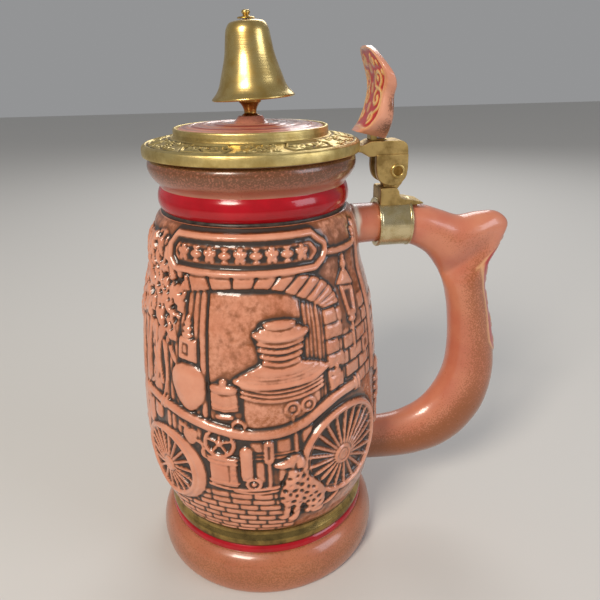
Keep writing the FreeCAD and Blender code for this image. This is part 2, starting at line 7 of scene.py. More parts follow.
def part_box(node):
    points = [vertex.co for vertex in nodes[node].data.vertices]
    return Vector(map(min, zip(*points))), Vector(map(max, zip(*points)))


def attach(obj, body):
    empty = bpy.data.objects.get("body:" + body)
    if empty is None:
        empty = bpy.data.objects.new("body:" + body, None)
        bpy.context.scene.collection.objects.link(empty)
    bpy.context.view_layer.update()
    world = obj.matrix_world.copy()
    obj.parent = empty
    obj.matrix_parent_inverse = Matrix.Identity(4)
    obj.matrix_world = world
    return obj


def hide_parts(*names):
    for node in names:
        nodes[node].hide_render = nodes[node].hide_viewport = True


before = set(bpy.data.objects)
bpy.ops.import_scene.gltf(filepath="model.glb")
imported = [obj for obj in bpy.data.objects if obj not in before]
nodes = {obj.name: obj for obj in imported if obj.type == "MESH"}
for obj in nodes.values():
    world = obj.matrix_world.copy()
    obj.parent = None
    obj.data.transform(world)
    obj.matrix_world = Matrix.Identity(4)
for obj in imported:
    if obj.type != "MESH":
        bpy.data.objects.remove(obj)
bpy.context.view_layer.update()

mm = 0.001
fullTurn = 2 * math.pi


def shade(hexText):                     # sRGB hex to the linear colour that a shader socket takes
    parts = [int(hexText[i:i + 2], 16) / 255 for i in (1, 3, 5)]
    return [p / 12.92 if p <= 0.04045 else ((p + 0.055) / 1.055) ** 2.4 for p in parts] + [1.0]


def newFinish(name, **sockets):
    material = bpy.data.materials.new(name)
    material.use_nodes = True
    tree = material.node_tree
    shader = tree.nodes["Principled BSDF"]
    for socket, value in sockets.items():
        shader.inputs[socket.replace("_", " ")].default_value = value
    return material, tree, shader


def addNode(tree, kind, settings=None, links=None):
    node = tree.nodes.new(kind)
    for key, value in (settings or {}).items():
        setattr(node, key, value)
    for key, value in (links or {}).items():
        if isinstance(value, bpy.types.NodeSocket):
            tree.links.new(value, node.inputs[key])
        else:
            node.inputs[key].default_value = value
    return node


# Points of a smooth line through the given ones
def smoothLine(points, steps):
    p = np.asarray(points, float)
    p = np.vstack([2 * p[0] - p[1], p, 2 * p[-1] - p[-2]])
    t = np.linspace(0, 1, steps, endpoint=False)[:, None]
    runs = []
    for a, b, c, d in zip(p[:-3], p[1:-2], p[2:-1], p[3:]):
        runs.append(0.5 * (2 * b + (c - a) * t + (2 * a - 5 * b + 4 * c - d) * t ** 2
                           + (3 * b - a - 3 * c + d) * t ** 3))
    return np.vstack(runs + [p[-2:-1]])


def softStep(low, high, value):
    t = np.clip((value - low) / (high - low), 0, 1)
    return t * t * (3 - 2 * t)


def blurred(field, sigmaRows, sigmaColumns):
    rows = np.fft.fftfreq(field.shape[0])[:, None]
    columns = np.fft.rfftfreq(field.shape[1])[None, :]
    keep = np.exp(-2 * (math.pi ** 2) * ((rows * sigmaRows) ** 2 + (columns * sigmaColumns) ** 2))
    return np.fft.irfft2(np.fft.rfft2(field) * keep, field.shape)


# A smooth-shaded mesh in millimetres. Corners above the sharp angle stay crisp.
def newPiece(name, verts, faces, sharp=None):
    mesh = bpy.data.meshes.new(name)
    mesh.from_pydata((np.asarray(verts) * mm).tolist(), [], faces)
    mesh.polygons.foreach_set("use_smooth", [True] * len(mesh.polygons))
    if sharp:
        mesh.set_sharp_from_angle(angle=math.radians(sharp))
    mesh.update()
    piece = bpy.data.objects.new(name, mesh)
    bpy.context.scene.collection.objects.link(piece)
    return piece


# A mesh from rows of points that run right round: "cap" closes both ends, "loop" joins the last row to the first
def gridMesh(name, points, ends, marks=None, slots=None, sharp=None):
    rows, columns = points.shape[:2]
    index = np.arange(rows * columns).reshape(rows, columns)
    after = np.roll(index, -1, 1)
    below, above = (index, np.roll(index, -1, 0)) if ends == "loop" else (index[:-1], index[1:])
    faces = np.stack([below, np.roll(below, -1, 1), np.roll(above, -1, 1), above], -1).reshape(-1, 4).tolist()
    slotOfFace = np.zeros(len(faces), int) if slots is None else np.repeat(slots[:len(below)], columns)
    verts = points.reshape(-1, 3)
    if ends == "cap":
        rims = (after[0], index[0]), (index[-1], after[-1])
        for hub, rim in enumerate(rims, rows * columns):
            faces += [[hub, *pair] for pair in np.stack(rim, 1).tolist()]
        verts = np.vstack([verts, points[0].mean(0), points[-1].mean(0)])
        slotOfFace = np.concatenate([slotOfFace, np.full(columns, slotOfFace[0]), np.full(columns, slotOfFace[-1])])
    piece = newPiece(name, verts, faces, sharp)
    piece.data.polygons.foreach_set("material_index", slotOfFace.astype(np.int32))
    for key, values in (marks or {}).items():
        flat = np.append(values.reshape(-1), np.zeros(len(verts) - values.size))
        piece.data.attributes.new(key, "FLOAT", "POINT").data.foreach_set("value", flat.astype(np.float32))
    return piece


def roundEdges(piece, width, harden):                 # the small radius that a mould or a file leaves on metal
    bevel = piece.modifiers.new("cast_edges", "BEVEL")
    bevel.width = width * mm
    bevel.segments = 3
    bevel.limit_method = "ANGLE"
    bevel.angle_limit = math.radians(35)
    bevel.harden_normals = harden


# Rows of points from (radius, height) pairs turned about the up axis
def turned(profile, columns):
    turn = np.arange(columns) * fullTurn / columns
    profile = np.asarray(profile, float)
    r, z = profile[:, :1], profile[:, 1:]
    return np.stack([r * np.sin(turn), -r * np.cos(turn), z + 0 * turn], -1)


def place(piece, body, slot, *replaced, finishes=()):
    for finish in finishes:
        piece.data.materials.append(finish)
    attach(piece, body)
    if replaced:
        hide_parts(*replaced)
    return piece


# Clay sheets carry relief, drawn in millimetres across (x) and up (z)
moatReach, layMargin, digMargin = 0.8, 2.2, 1.5


def newSheet(x, z, ground=0.0):
    return {"x": x, "z": z, "height": np.full((len(z), len(x)), ground), "shift": 0.0}


def windowOf(sheet, box, margin):                     # the part of a sheet near a box, with its x and z
    left, right = box[0] + sheet["shift"], box[1] + sheet["shift"]
    columns = slice(*np.searchsorted(sheet["x"], (left - margin, right + margin)))
    rows = slice(*np.searchsorted(sheet["z"], (box[2] - margin, box[3] + margin)))
    return (rows, columns), *np.meshgrid(sheet["x"][columns] - sheet["shift"], sheet["z"][rows])


# Raises whatever lies inside distance(x, z) < 0 to a height, with a dug line round it, the moat
def lay(sheet, box, distance, height, dome, half, moat, edge):
    window, x, z = windowOf(sheet, box, layMargin)
    if x.size == 0:
        return
    d = distance(x, z)
    ground = sheet["height"][window] - moat * np.exp(-(np.maximum(d, 0) / moatReach) ** 2)
    top = height - dome * np.clip(1 + d / half, 0, 1) ** 2
    mask = softStep(edge, -edge, d)
    sheet["height"][window] = ground * (1 - mask) + top * mask


def dig(sheet, box, distance, depth, edge=0.45):
    window, x, z = windowOf(sheet, box, digMargin)
    if x.size:
        sheet["height"][window] -= depth * softStep(edge, -edge, distance(x, z))


def boxOf(points, margin):
    p = np.asarray(points, float)
    return (p[:, 0].min() - margin, p[:, 0].max() + margin, p[:, 1].min() - margin, p[:, 1].max() + margin)


def lineDistance(points):
    p = np.asarray(points, float)

    def distance(x, z):
        best = np.full(x.shape, 1e9)
        for (ax, az), (bx, bz) in zip(p[:-1], p[1:]):
            length = max((bx - ax) ** 2 + (bz - az) ** 2, 1e-9)
            t = np.clip(((x - ax) * (bx - ax) + (z - az) * (bz - az)) / length, 0, 1)
            best = np.minimum(best, np.hypot(x - ax - t * (bx - ax), z - az - t * (bz - az)))
        return best
    return distance


def stroke(sheet, points, radius, height, dome=0.6, moat=0.45, smooth=0, edge=0.3):
    if smooth:
        points = smoothLine(points, smooth)
    away = lineDistance(points)
    lay(sheet, boxOf(points, radius), lambda x, z: away(x, z) - radius, height, dome, radius, moat, edge)


def score(sheet, points, depth, width=0.35):
    away = lineDistance(points)
    dig(sheet, boxOf(points, width), lambda x, z: away(x, z) - width, depth)


def plate(sheet, corners, height, dome=0.0, half=2.0, moat=0.45, smooth=0, edge=0.35):
    points = np.asarray(corners, float)
    if smooth:
        ring = np.vstack([points[-1:], points, points[:2]])
        points = smoothLine(ring, smooth)[smooth:-smooth - 1]
    closed = np.vstack([points, points[:1]])
    away = lineDistance(closed)

    def distance(x, z):
        inside = np.zeros(x.shape, bool)
        for (ax, az), (bx, bz) in zip(closed[:-1], closed[1:]):
            if az != bz:
                crosses = (az > z) != (bz > z)
                inside ^= crosses & (x < (bx - ax) * (z - az) / (bz - az) + ax)
        return np.where(inside, -1, 1) * away(x, z)
    lay(sheet, boxOf(points, 0), distance, height, dome, half, moat, edge)


def ovalDistance(x0, z0, rx, rz, lean):
    c, s = math.cos(math.radians(lean)), math.sin(math.radians(lean))

    def distance(x, z):
        u, v = (x - x0) * c + (z - z0) * s, (z - z0) * c - (x - x0) * s
        return (np.hypot(u / rx, v / rz) - 1) * min(rx, rz)
    return distance


def blob(sheet, x0, z0, rx, rz, height, dome=0.8, lean=0.0, moat=0.45, ring=0.0):
    away = ovalDistance(x0, z0, rx, rz, lean)
    reach = max(rx, rz) + ring
    lay(sheet, (x0 - reach, x0 + reach, z0 - reach, z0 + reach),
        (lambda x, z: np.abs(away(x, z)) - ring / 2) if ring else away,
        height, dome, ring / 2 or min(rx, rz), moat, 0.3)


def pit(sheet, x0, z0, rx, rz, depth, lean=0.0):
    reach = max(rx, rz)
    dig(sheet, (x0 - reach, x0 + reach, z0 - reach, z0 + reach), ovalDistance(x0, z0, rx, rz, lean), depth, 0.3)


mugDesign = {"columns": 780, "rowStep": 0.42, "low": 31.8, "high": 162.1, "seed": 11, "sheetRadius": 50.0,
             "seamHeight": 0.45, "mostHeight": 2.0, "leastHeight": -0.75, "backCentre": -157.0}
sheetX = (np.arange(mugDesign["columns"]) / mugDesign["columns"] - 0.75) * fullTurn * mugDesign["sheetRadius"]
sheetZ = np.arange(mugDesign["low"], mugDesign["high"] + 0.01, mugDesign["rowStep"])
clay = newSheet(sheetX, sheetZ, 0.3)
chance = np.random.default_rng(mugDesign["seed"])


def noiseField(shape, sigma, generator):
    field = blurred(generator.standard_normal(shape), sigma[0], sigma[1])
    return field / field.std()


grain = noiseField(clay["height"].shape, (2.0, 2.0), chance)
leafNoise = noiseField(clay["height"].shape, (1.75, 1.5), chance)


def wobble(amount):
    return float(chance.uniform(-amount, amount))


def drawPlanks(left, right, low, high, count, height):
    width = (right - left) / count
    plate(clay, [(left, low), (right, low), (right, high), (left, high)], height - 0.32, 0.0, 2, 0.0)
    for k in range(count):
        x = left + (k + 0.5) * width
        lean = wobble(0.25)
        stroke(clay, [(x - lean, low), (x + lean, high)], 0.36 * width + wobble(0.06), height + wobble(0.15), 0.45,
               0.35)


def drawFoliage(left, right, low, high):
    centreX, centreZ = 0.5 * (left + right), 0.5 * (low + high)
    halfX, halfZ = 0.5 * (right - left), 0.5 * (high - low)
    edge = []
    for k in range(36):                               # leafy lobes round a squarish crown
        turn = k * fullTurn / 36
        lobe = 1.0 + 0.07 * math.sin(9 * turn + left) + wobble(0.03)
        across, up = math.cos(turn), math.sin(turn)
        edge.append((centreX + halfX * lobe * math.copysign(abs(across) ** 0.6, across),
                     centreZ + halfZ * lobe * math.copysign(abs(up) ** 0.6, up)))
    plate(clay, edge, 1.6, 0.4, 5, 0.6, smooth=4)
    x0, x1 = left + clay["shift"], right + clay["shift"]
    columns = slice(*np.searchsorted(clay["x"], (x0 - 1, x1 + 1)))
    rows = slice(*np.searchsorted(clay["z"], (low, high)))
    part = clay["height"][rows, columns]
    n = leafNoise[rows, columns]
    part += softStep(0.8, 1.2, part) * (0.3 * np.clip(n, -0.5, 1.4) - 2.1 * softStep(-0.3, -0.85, n))


def drawTrunk(x, low, high):
    stroke(clay, [(x, low), (x + 1.5, 0.6 * low + 0.4 * high), (x - 0.5, high)], 3.4, 1.3, 0.7, 0.6, smooth=5)
    for a, b, r in ((-3.4, 3.2, 1.1), (3.0, 4.4, 1.2), (0.3, 1.2, 0.7)):
        stroke(clay, [(x + a * 0.5, low + 6), (x + a * 0.35, 0.5 * (low + high)), (x + b, high + 1)], r, 1.5, 0.5, 0.4,
               smooth=4)
    for k in range(7):
        z = low + (high - low) * (k + 0.5) / 7
        score(clay, [(x - 1.5 + wobble(1.5), z - 2.5), (x - 1 + wobble(1.5), z + 2.5)], 0.7, 0.22)


def drawBricks(left, right, low, high, courses, brick, height, slope=0.0, bow=0.0):
    def rise(u):
        return slope * (u - left) + bow * ((2 * (u - left) / (right - left) - 1) ** 2)

    step = (high - low) / courses
    for k in range(courses):
        z0, z1 = low + k * step + 0.3, low + (k + 1) * step - 0.3
        x = left + (0.0 if k % 2 else -0.5 * brick)
        while x < right - 0.8:
            width = brick * (1 + wobble(0.12))
            a, b = max(x, left) + 0.32, min(x + width, right) - 0.32
            if b - a > 1.2:
                lift = wobble(0.12)
                corners = [(a, z0 + rise(a)), (b, z0 + rise(b)), (b, z1 + rise(b)), (a, z1 + rise(a))]
                plate(clay, corners, height + lift, 0.12, 1.2, 0.3, edge=0.3)
            x += width


def drawPlaque(left, right, low, high):
    notch = 3.4
    outer = [(left + notch, high), (right - notch * 1.8, high), (right - notch, high - 2.4), (right, high - 4.4),
             (right - 0.2, low + 5.4),
             (right - 1.8, low + 2.8), (right - notch * 1.8, low), (left + notch, low), (left, low + 4),
             (left, high - 4)]
    plate(clay, outer, 0.55, 0.0, 2, 0.6)
    inner = [(left + notch + 1.2, high - 3.2), (right - notch * 2.1, high - 3.2), (right - 4.2, high - 6.2),
             (right - 4.4, low + 5.4), (right - notch * 2.1, low + 3.0), (left + notch + 1.2, low + 3.0),
             (left + 2.6, low + 5), (left + 2.6, high - 5.4)]
    stroke(clay, outer + outer[:1], 1.2, 2.0, 0.9, 0.75)
    plate(clay, inner, 0.9, 0.0, 2, 0.75)
    midX, middle = 0.5 * (left + right), 0.5 * (low + high)
    field = [(x + (0.9 if x < midX else -0.9), z + (0.7 if z < middle else -0.7)) for x, z in inner]
    plate(clay, field, 0.35, 0.0, 2, 0.0)
    start, span = left + notch + 4.2, right - left - 2 * notch - 12.4
    for k in range(9):                                # rosettes and lozenge buds stand in the plaque's field
        x = start + span * k / 8
        if k % 2:
            plate(clay, [(x - 2.9, middle), (x, middle + 1.5), (x + 2.9, middle), (x, middle - 1.5)], 1.6, 0.4, 1.4,
                  0.45, smooth=3)
            for sign in (-1, 1):
                blob(clay, x, middle + sign * 2.3, 1.5, 0.55, 1.4, 0.4, 0, 0.35)
        else:
            for petal in range(5):
                turn = math.pi / 2 + petal * fullTurn / 5
                blob(clay, x + 1.65 * math.cos(turn), middle + 1.75 * math.sin(turn), 1.3, 1.05, 1.6, 0.55,
                     math.degrees(turn), 0.35)
            blob(clay, x, middle, 0.9, 0.9, 1.9, 0.5, 0, 0.45)


def drawArch(outerLine, innerLine, stones):
    outerLine, innerLine = smoothLine(outerLine, 20), smoothLine(innerLine, 20)

    def along(line, share):
        place = share * (len(line) - 1)
        return tuple(np.interp(place, np.arange(len(line)), line[:, k]) for k in (0, 1))
    for k in range(stones):
        shares = np.linspace((k + 0.035) / stones, (k + 0.965) / stones, 5)
        plate(clay, [along(outerLine, t) for t in shares] + [along(innerLine, t) for t in shares[::-1]],
              1.3 + wobble(0.12), 0.2, 1.8, 0.5, edge=0.28)


def drawWheel(x0, z0, rx, rz, spokes, hub, lean=0.0, tyre=2.1, sideways=0.0, hubAt=(0.0, 0.0)):
    for share, top, moat in ((1, 1.2, 0.8), (0.75, 1.95 - 0.75 * 0.7, 0.2), (0.45, 1.95 - 0.45 * 0.7, 0.2)):
        if share == 1 or sideways:
            blob(clay, x0 + sideways * share, z0 + 0.25 * sideways * share, rx + tyre * 0.5, rz + tyre * 0.5, top, 0.1,
                 lean, moat)
    blob(clay, x0, z0, rx - tyre, rz - tyre, -0.6, 0.0, lean, 0.0)
    c, s = math.cos(math.radians(lean)), math.sin(math.radians(lean))
    hubX, hubZ = x0 + hubAt[0], z0 + hubAt[1]
    for k in range(spokes):
        turn = (k + 0.5) * fullTurn / spokes
        u, v = 0.9 * rx * math.cos(turn), 0.9 * rz * math.sin(turn)
        rim = (x0 + u * c - v * s, z0 + u * s + v * c)
        stroke(clay, [(hubX + 0.14 * (rim[0] - hubX), hubZ + 0.14 * (rim[1] - hubZ)), rim], 0.66, 1.35, 0.5, 0.2)
    blob(clay, x0, z0, rx - tyre * 0.35, rz - tyre * 0.35, 2.0, 0.9, lean, 0.5, ring=tyre * 1.3)
    blob(clay, x0, z0, rx - tyre * 1.4, rz - tyre * 1.4, 1.1, 0.3, lean, 0.25, ring=0.7)
    blob(clay, hubX, hubZ, hub, hub * 1.05, 1.3, 0.3, lean, 0.5)
    blob(clay, hubX, hubZ, hub * 0.78, hub * 0.82, 2.0, 0.6, lean, 0.4, ring=0.9)
    blob(clay, hubX, hubZ, hub * 0.42, hub * 0.45, 2.0, 0.5, lean, 0.6, ring=0.6)


def drawBoiler():
    drum = [(-10.5, 100), (-10.5, 87.5), (-6, 85.5), (4, 84.8), (14, 86), (19, 88.5), (19, 101)]
    plate(clay, drum, 1.25, 0.5, 12, 0.7)
    for z in (99.6, 101.5, 103.3):
        stroke(clay, [(-11.2, z + 1.4), (-3, z - 0.5), (4, z - 0.9), (12, z - 0.2), (20, z + 1.9)], 0.75, 1.6, 0.5, 0.4,
               smooth=5)
    shoulder = [(-13.2, 106.6), (-8, 104.6), (3, 103.9), (15, 105), (22.3, 108.6), (20, 111.3), (13, 113.4), (9.5, 115),
                (-1.5, 114.6), (-6, 112.2), (-11.5, 109.4)]
    plate(clay, shoulder, 1.75, 0.5, 5, 0.7, smooth=4)
    stroke(clay, [(-13, 107), (-8, 105.2), (3, 104.6), (15, 105.7), (22, 109)], 1.15, 2.0, 0.5, 0.3, smooth=5)
    stroke(clay, [(-10, 109.6), (-3, 108.3), (5, 108.2), (13, 109.2), (18.6, 111)], 0.3, 1.9, 0.3, 0.55, smooth=5)
    neck = [(-3.6, 121.5), (-2.4, 114), (2, 112.9), (7, 112.9), (11, 114.2), (12, 121.5)]
    plate(clay, neck, 1.0, 0.4, 7, 0.6)
    for z, half in ((114.0, 6.6), (116.3, 7.3), (118.8, 7.9), (121.2, 8.3)):
        stroke(clay, [(4.3 - half, z + 0.5), (4.3, z - 0.7), (4.3 + half, z + 0.5)], 0.95, 1.85, 0.7, 0.5, smooth=5)
    brim = [(-5.8, 125), (-3.6, 122.2), (4.5, 121.2), (12.5, 122), (15, 124.8), (10.8, 127.6), (4.2, 128.4),
            (-2.2, 127.4)]
    plate(clay, brim, 1.8, 0.7, 4, 0.7, smooth=4)
    stroke(clay, [(-5.4, 124.9), (0, 123.3), (4.5, 122.9), (10, 123.4), (14.6, 124.9)], 0.9, 2.0, 0.5, 0.35, smooth=5)
    stroke(clay, [(-3.6, 127), (4.3, 125.6), (12.2, 127)], 0.3, 1.75, 0.2, 0.5, smooth=5)
    blob(clay, 4.2, 128.2, 6.5, 1.55, 1.95, 0.35, 0, 0.5)
    blob(clay, 4.2, 128.5, 5.4, 0.85, 1.7, 0.1, 0, 0.2)
    for x, z in ((7.4, 94.4), (13.6, 95.0)):
        blob(clay, x, z, 2.5, 2.6, 1.95, 0.5, 0, 0.4, ring=1.0)
        blob(clay, x, z, 1.0, 1.1, 1.75, 0.4, 0, 0.5)
    stroke(clay, [(7.4, 91.6), (7.4, 86.5)], 0.5, 1.7, 0.3, 0.4)


def drawLantern(x, z, size):
    stroke(clay, [(x, z - 8 * size), (x, z - 17 * size)], 0.7, 1.3, 0.5, 0.45)
    blob(clay, x, z - 8.6 * size, 1.6 * size, 0.9 * size, 1.6, 0.4)
    plate(clay, [(x - 3.1 * size, z + 1.2 * size), (x + 3.1 * size, z), (x + 2.0 * size, z - 8 * size),
                 (x - 1.6 * size, z - 7.6 * size)],
          1.3, 0.1, 2, 0.5)
    plate(clay, [(x - 1.7 * size, z - 0.4), (x + 1.7 * size, z - 1), (x + 1.1 * size, z - 6.4 * size),
                 (x - 0.8 * size, z - 6.2 * size)],
          0.35, 0.0, 2, 0.0)
    plate(clay, [(x - 4 * size, z + 1.6 * size), (x + 3.9 * size, z + 0.2 * size), (x + 1.2 * size, z + 4.8 * size),
                 (x - 1.2 * size, z + 5 * size)],
          1.8, 0.5, 2.5, 0.5)
    stroke(clay, [(x, z + 5 * size), (x, z + 8.6 * size)], 0.8 * size, 1.6, 0.5, 0.45)
    blob(clay, x, z + 6.6 * size, 1.2 * size, 1.3 * size, 1.8, 0.5)


def drawDog():
    stroke(clay, [(19.5, 42.6), (24.5, 43.6), (27.8, 46.4)], 0.9, 1.5, 0.6, 0.8, smooth=4)       # tail
    blob(clay, 16.4, 46.9, 5.0, 4.9, 1.7, 0.9, 20, 1.3)                                           # haunch
    plate(clay, [(5.2, 65), (10.6, 64.6), (15.4, 60), (20.2, 53.8), (21.2, 48.5), (16.5, 44.5), (10.5, 47.5),
                 (7.6, 45.5),
                 (2.8, 48.5), (1.4, 54), (2.8, 59.6)], 1.8, 1.0, 6, 1.3, smooth=4)                 # trunk
    blob(clay, 17.0, 46.4, 4.3, 4.1, 1.95, 0.7, 20, 0.35)
    stroke(clay, [(13.2, 42.4), (17.0, 41.3), (19.6, 41.8)], 1.1, 1.9, 0.6, 0.45, smooth=4)       # hind foot
    stroke(clay, [(9.2, 55.5), (8.9, 48), (7.9, 40.8), (6.2, 39.7)], 1.5, 1.95, 0.8, 0.45, smooth=4)
    stroke(clay, [(4.6, 55), (4.6, 48), (4.2, 42.4), (2.6, 41.4)], 1.35, 1.9, 0.8, 0.45, smooth=4)
    stroke(clay, [(8.2, 67.5), (7.2, 62.5), (5.8, 58.5)], 3.0, 1.85, 0.9, 0.4, smooth=4)          # neck
    blob(clay, 7.9, 70.4, 3.7, 3.4, 1.75, 0.9, 0, 1.2)                                             # head
    plate(clay, [(-0.4, 70.4), (2.2, 71.1), (5.4, 72.2), (6.4, 68.8), (3.4, 68.2), (0.2, 68.9)], 1.9, 0.6, 2, 0.45,
          smooth=4)
    blob(clay, 9.8, 68.9, 1.7, 2.9, 2.0, 0.7, -12, 0.8)                                          # ear
    pit(clay, 5.6, 71.2, 0.55, 0.5, 0.9)
    pit(clay, 0.8, 70.2, 0.6, 0.5, 0.6)
    score(clay, [(7.7, 70.6), (7.9, 67.9), (9.2, 66.2)], 0.8, 0.28)
    for k in range(46):                               # engraved coat spots
        turn, reach = k * 2.4, math.sqrt((k + 0.5) / 46)
        x, z = 11.2 + 9.5 * reach * math.cos(turn), 54 + 13.5 * reach * math.sin(turn)
        if abs(x - (24.5 - 0.3 * z)) < 9.5 - 0.1 * abs(z - 52):
            pit(clay, x, z, 0.95 + wobble(0.2), 0.72 + wobble(0.15), 1.3, wobble(90))


def drawSmallWorks():                                 # pump gear between the wheels and under the hose
    for z in (73.5, 75.2):
        stroke(clay, [(-24, z), (20, z)], 0.42, 0.95, 0.3, 0.3)
    for x0, x1, z0, z1 in ((-9, -4, 76.5, 82), (1, 6, 76, 82), (1.5, 6, 62, 71), (-7.5, -4, 62, 72), (11, 15, 76, 86),
                           (-24, -15, 84, 88)):
        plate(clay, [(x0, z0), (x1, z0), (x1, z1), (x0, z1)], 0.75, 0.1, 2, 0.3)
    stroke(clay, [(-38, 84.5), (-33, 82.5), (-31, 79), (-28, 78.2), (-27.2, 73)], 0.85, 1.2, 0.5, 0.4, smooth=4)
    plate(clay, [(-36.5, 82.5), (-30, 83.2), (-31, 77.5), (-35, 75.5)], 1.2, 0.3, 3, 0.4, smooth=3)
    blob(clay, -26.3, 74.0, 2.0, 2.1, 1.4, 0.4, 0, 0.4, ring=1.0)
    blob(clay, -20.8, 79.6, 6.4, 6.4, 1.1, 0.2, 0, 0.6)
    blob(clay, -20.8, 79.6, 5.0, 5.0, -0.2, 0.0, 0, 0.0)
    for k in range(5):
        turn = 0.3 + k * fullTurn / 5
        stroke(clay, [(-20.8, 79.6), (-20.8 + 5 * math.cos(turn), 79.6 + 5 * math.sin(turn))], 0.6, 1.2, 0.4, 0.2)
    blob(clay, -20.8, 79.6, 5.7, 5.7, 1.8, 0.6, 0, 0.3, ring=1.5)
    blob(clay, -20.8, 79.6, 1.4, 1.4, 1.7, 0.5, 0, 0.4)
    plate(clay, [(-25.2, 60.2), (-14.2, 59.4), (-14.2, 73.4), (-25.2, 73.4)], 1.35, 0.15, 3, 0.6)
    for z in (61.6, 71.0, 72.9):
        stroke(clay, [(-25.6, z + 0.3), (-14, z - 0.2)], 0.55, 1.7, 0.4, 0.3)
    score(clay, [(-17.4, 62.5), (-17.4, 70.4)], 0.7, 0.25)
    for z in (64, 66.6, 69.2):
        blob(clay, -15.4, z, 0.9, 0.9, 1.7, 0.4, 0, 0.3)
    stroke(clay, [(-10.6, 65.4), (-10.6, 76.6)], 2.5, 1.9, 1.0, 0.6)
    stroke(clay, [(-12, 63.6), (-9.2, 63.6)], 0.6, 1.6, 0.4, 0.4)
    stroke(clay, [(-2.1, 72.6), (-2.1, 80)], 1.8, 1.75, 0.4, 0.5)
    stroke(clay, [(-2.1, 73.4), (-2.1, 78.8)], 0.7, 0.2, 0.0, 0.0)
    stroke(clay, [(-2.1, 71), (-2.1, 60.2), (-4, 58.8)], 0.6, 1.5, 0.4, 0.5, smooth=4)
    stroke(clay, [(8.2, 84), (8.6, 75)], 0.6, 1.5, 0.4, 0.5)
    blob(clay, -8.2, 61.4, 2.5, 2.5, 1.8, 0.5, 0, 0.5, ring=1.3)
    blob(clay, -8.2, 61.4, 1.1, 1.1, 1.7, 0.4, 0, 0.4)
    stroke(clay, [(-26, 59.6), (-14, 58.2), (2, 59)], 0.7, 1.35, 0.4, 0.45, smooth=4)
    stroke(clay, [(-16, 57.4), (-8, 56.6), (2, 57.2)], 0.6, 1.2, 0.4, 0.4, smooth=4)


def drawHose(points):
    stroke(clay, points, 2.35, 2.0, 1.2, 1.0, smooth=8)
    for (x, z), lean in ((points[0], 80), (points[2], 72), (points[-1], 95)):
        c, s = math.cos(math.radians(lean)), math.sin(math.radians(lean))
        for step in (0, 2.0):
            stroke(clay, [(x + step - 2.6 * c, z - 2.6 * s), (x + step + 2.6 * c, z + 2.6 * s)], 0.75, 2.1, 0.4, 0.35)


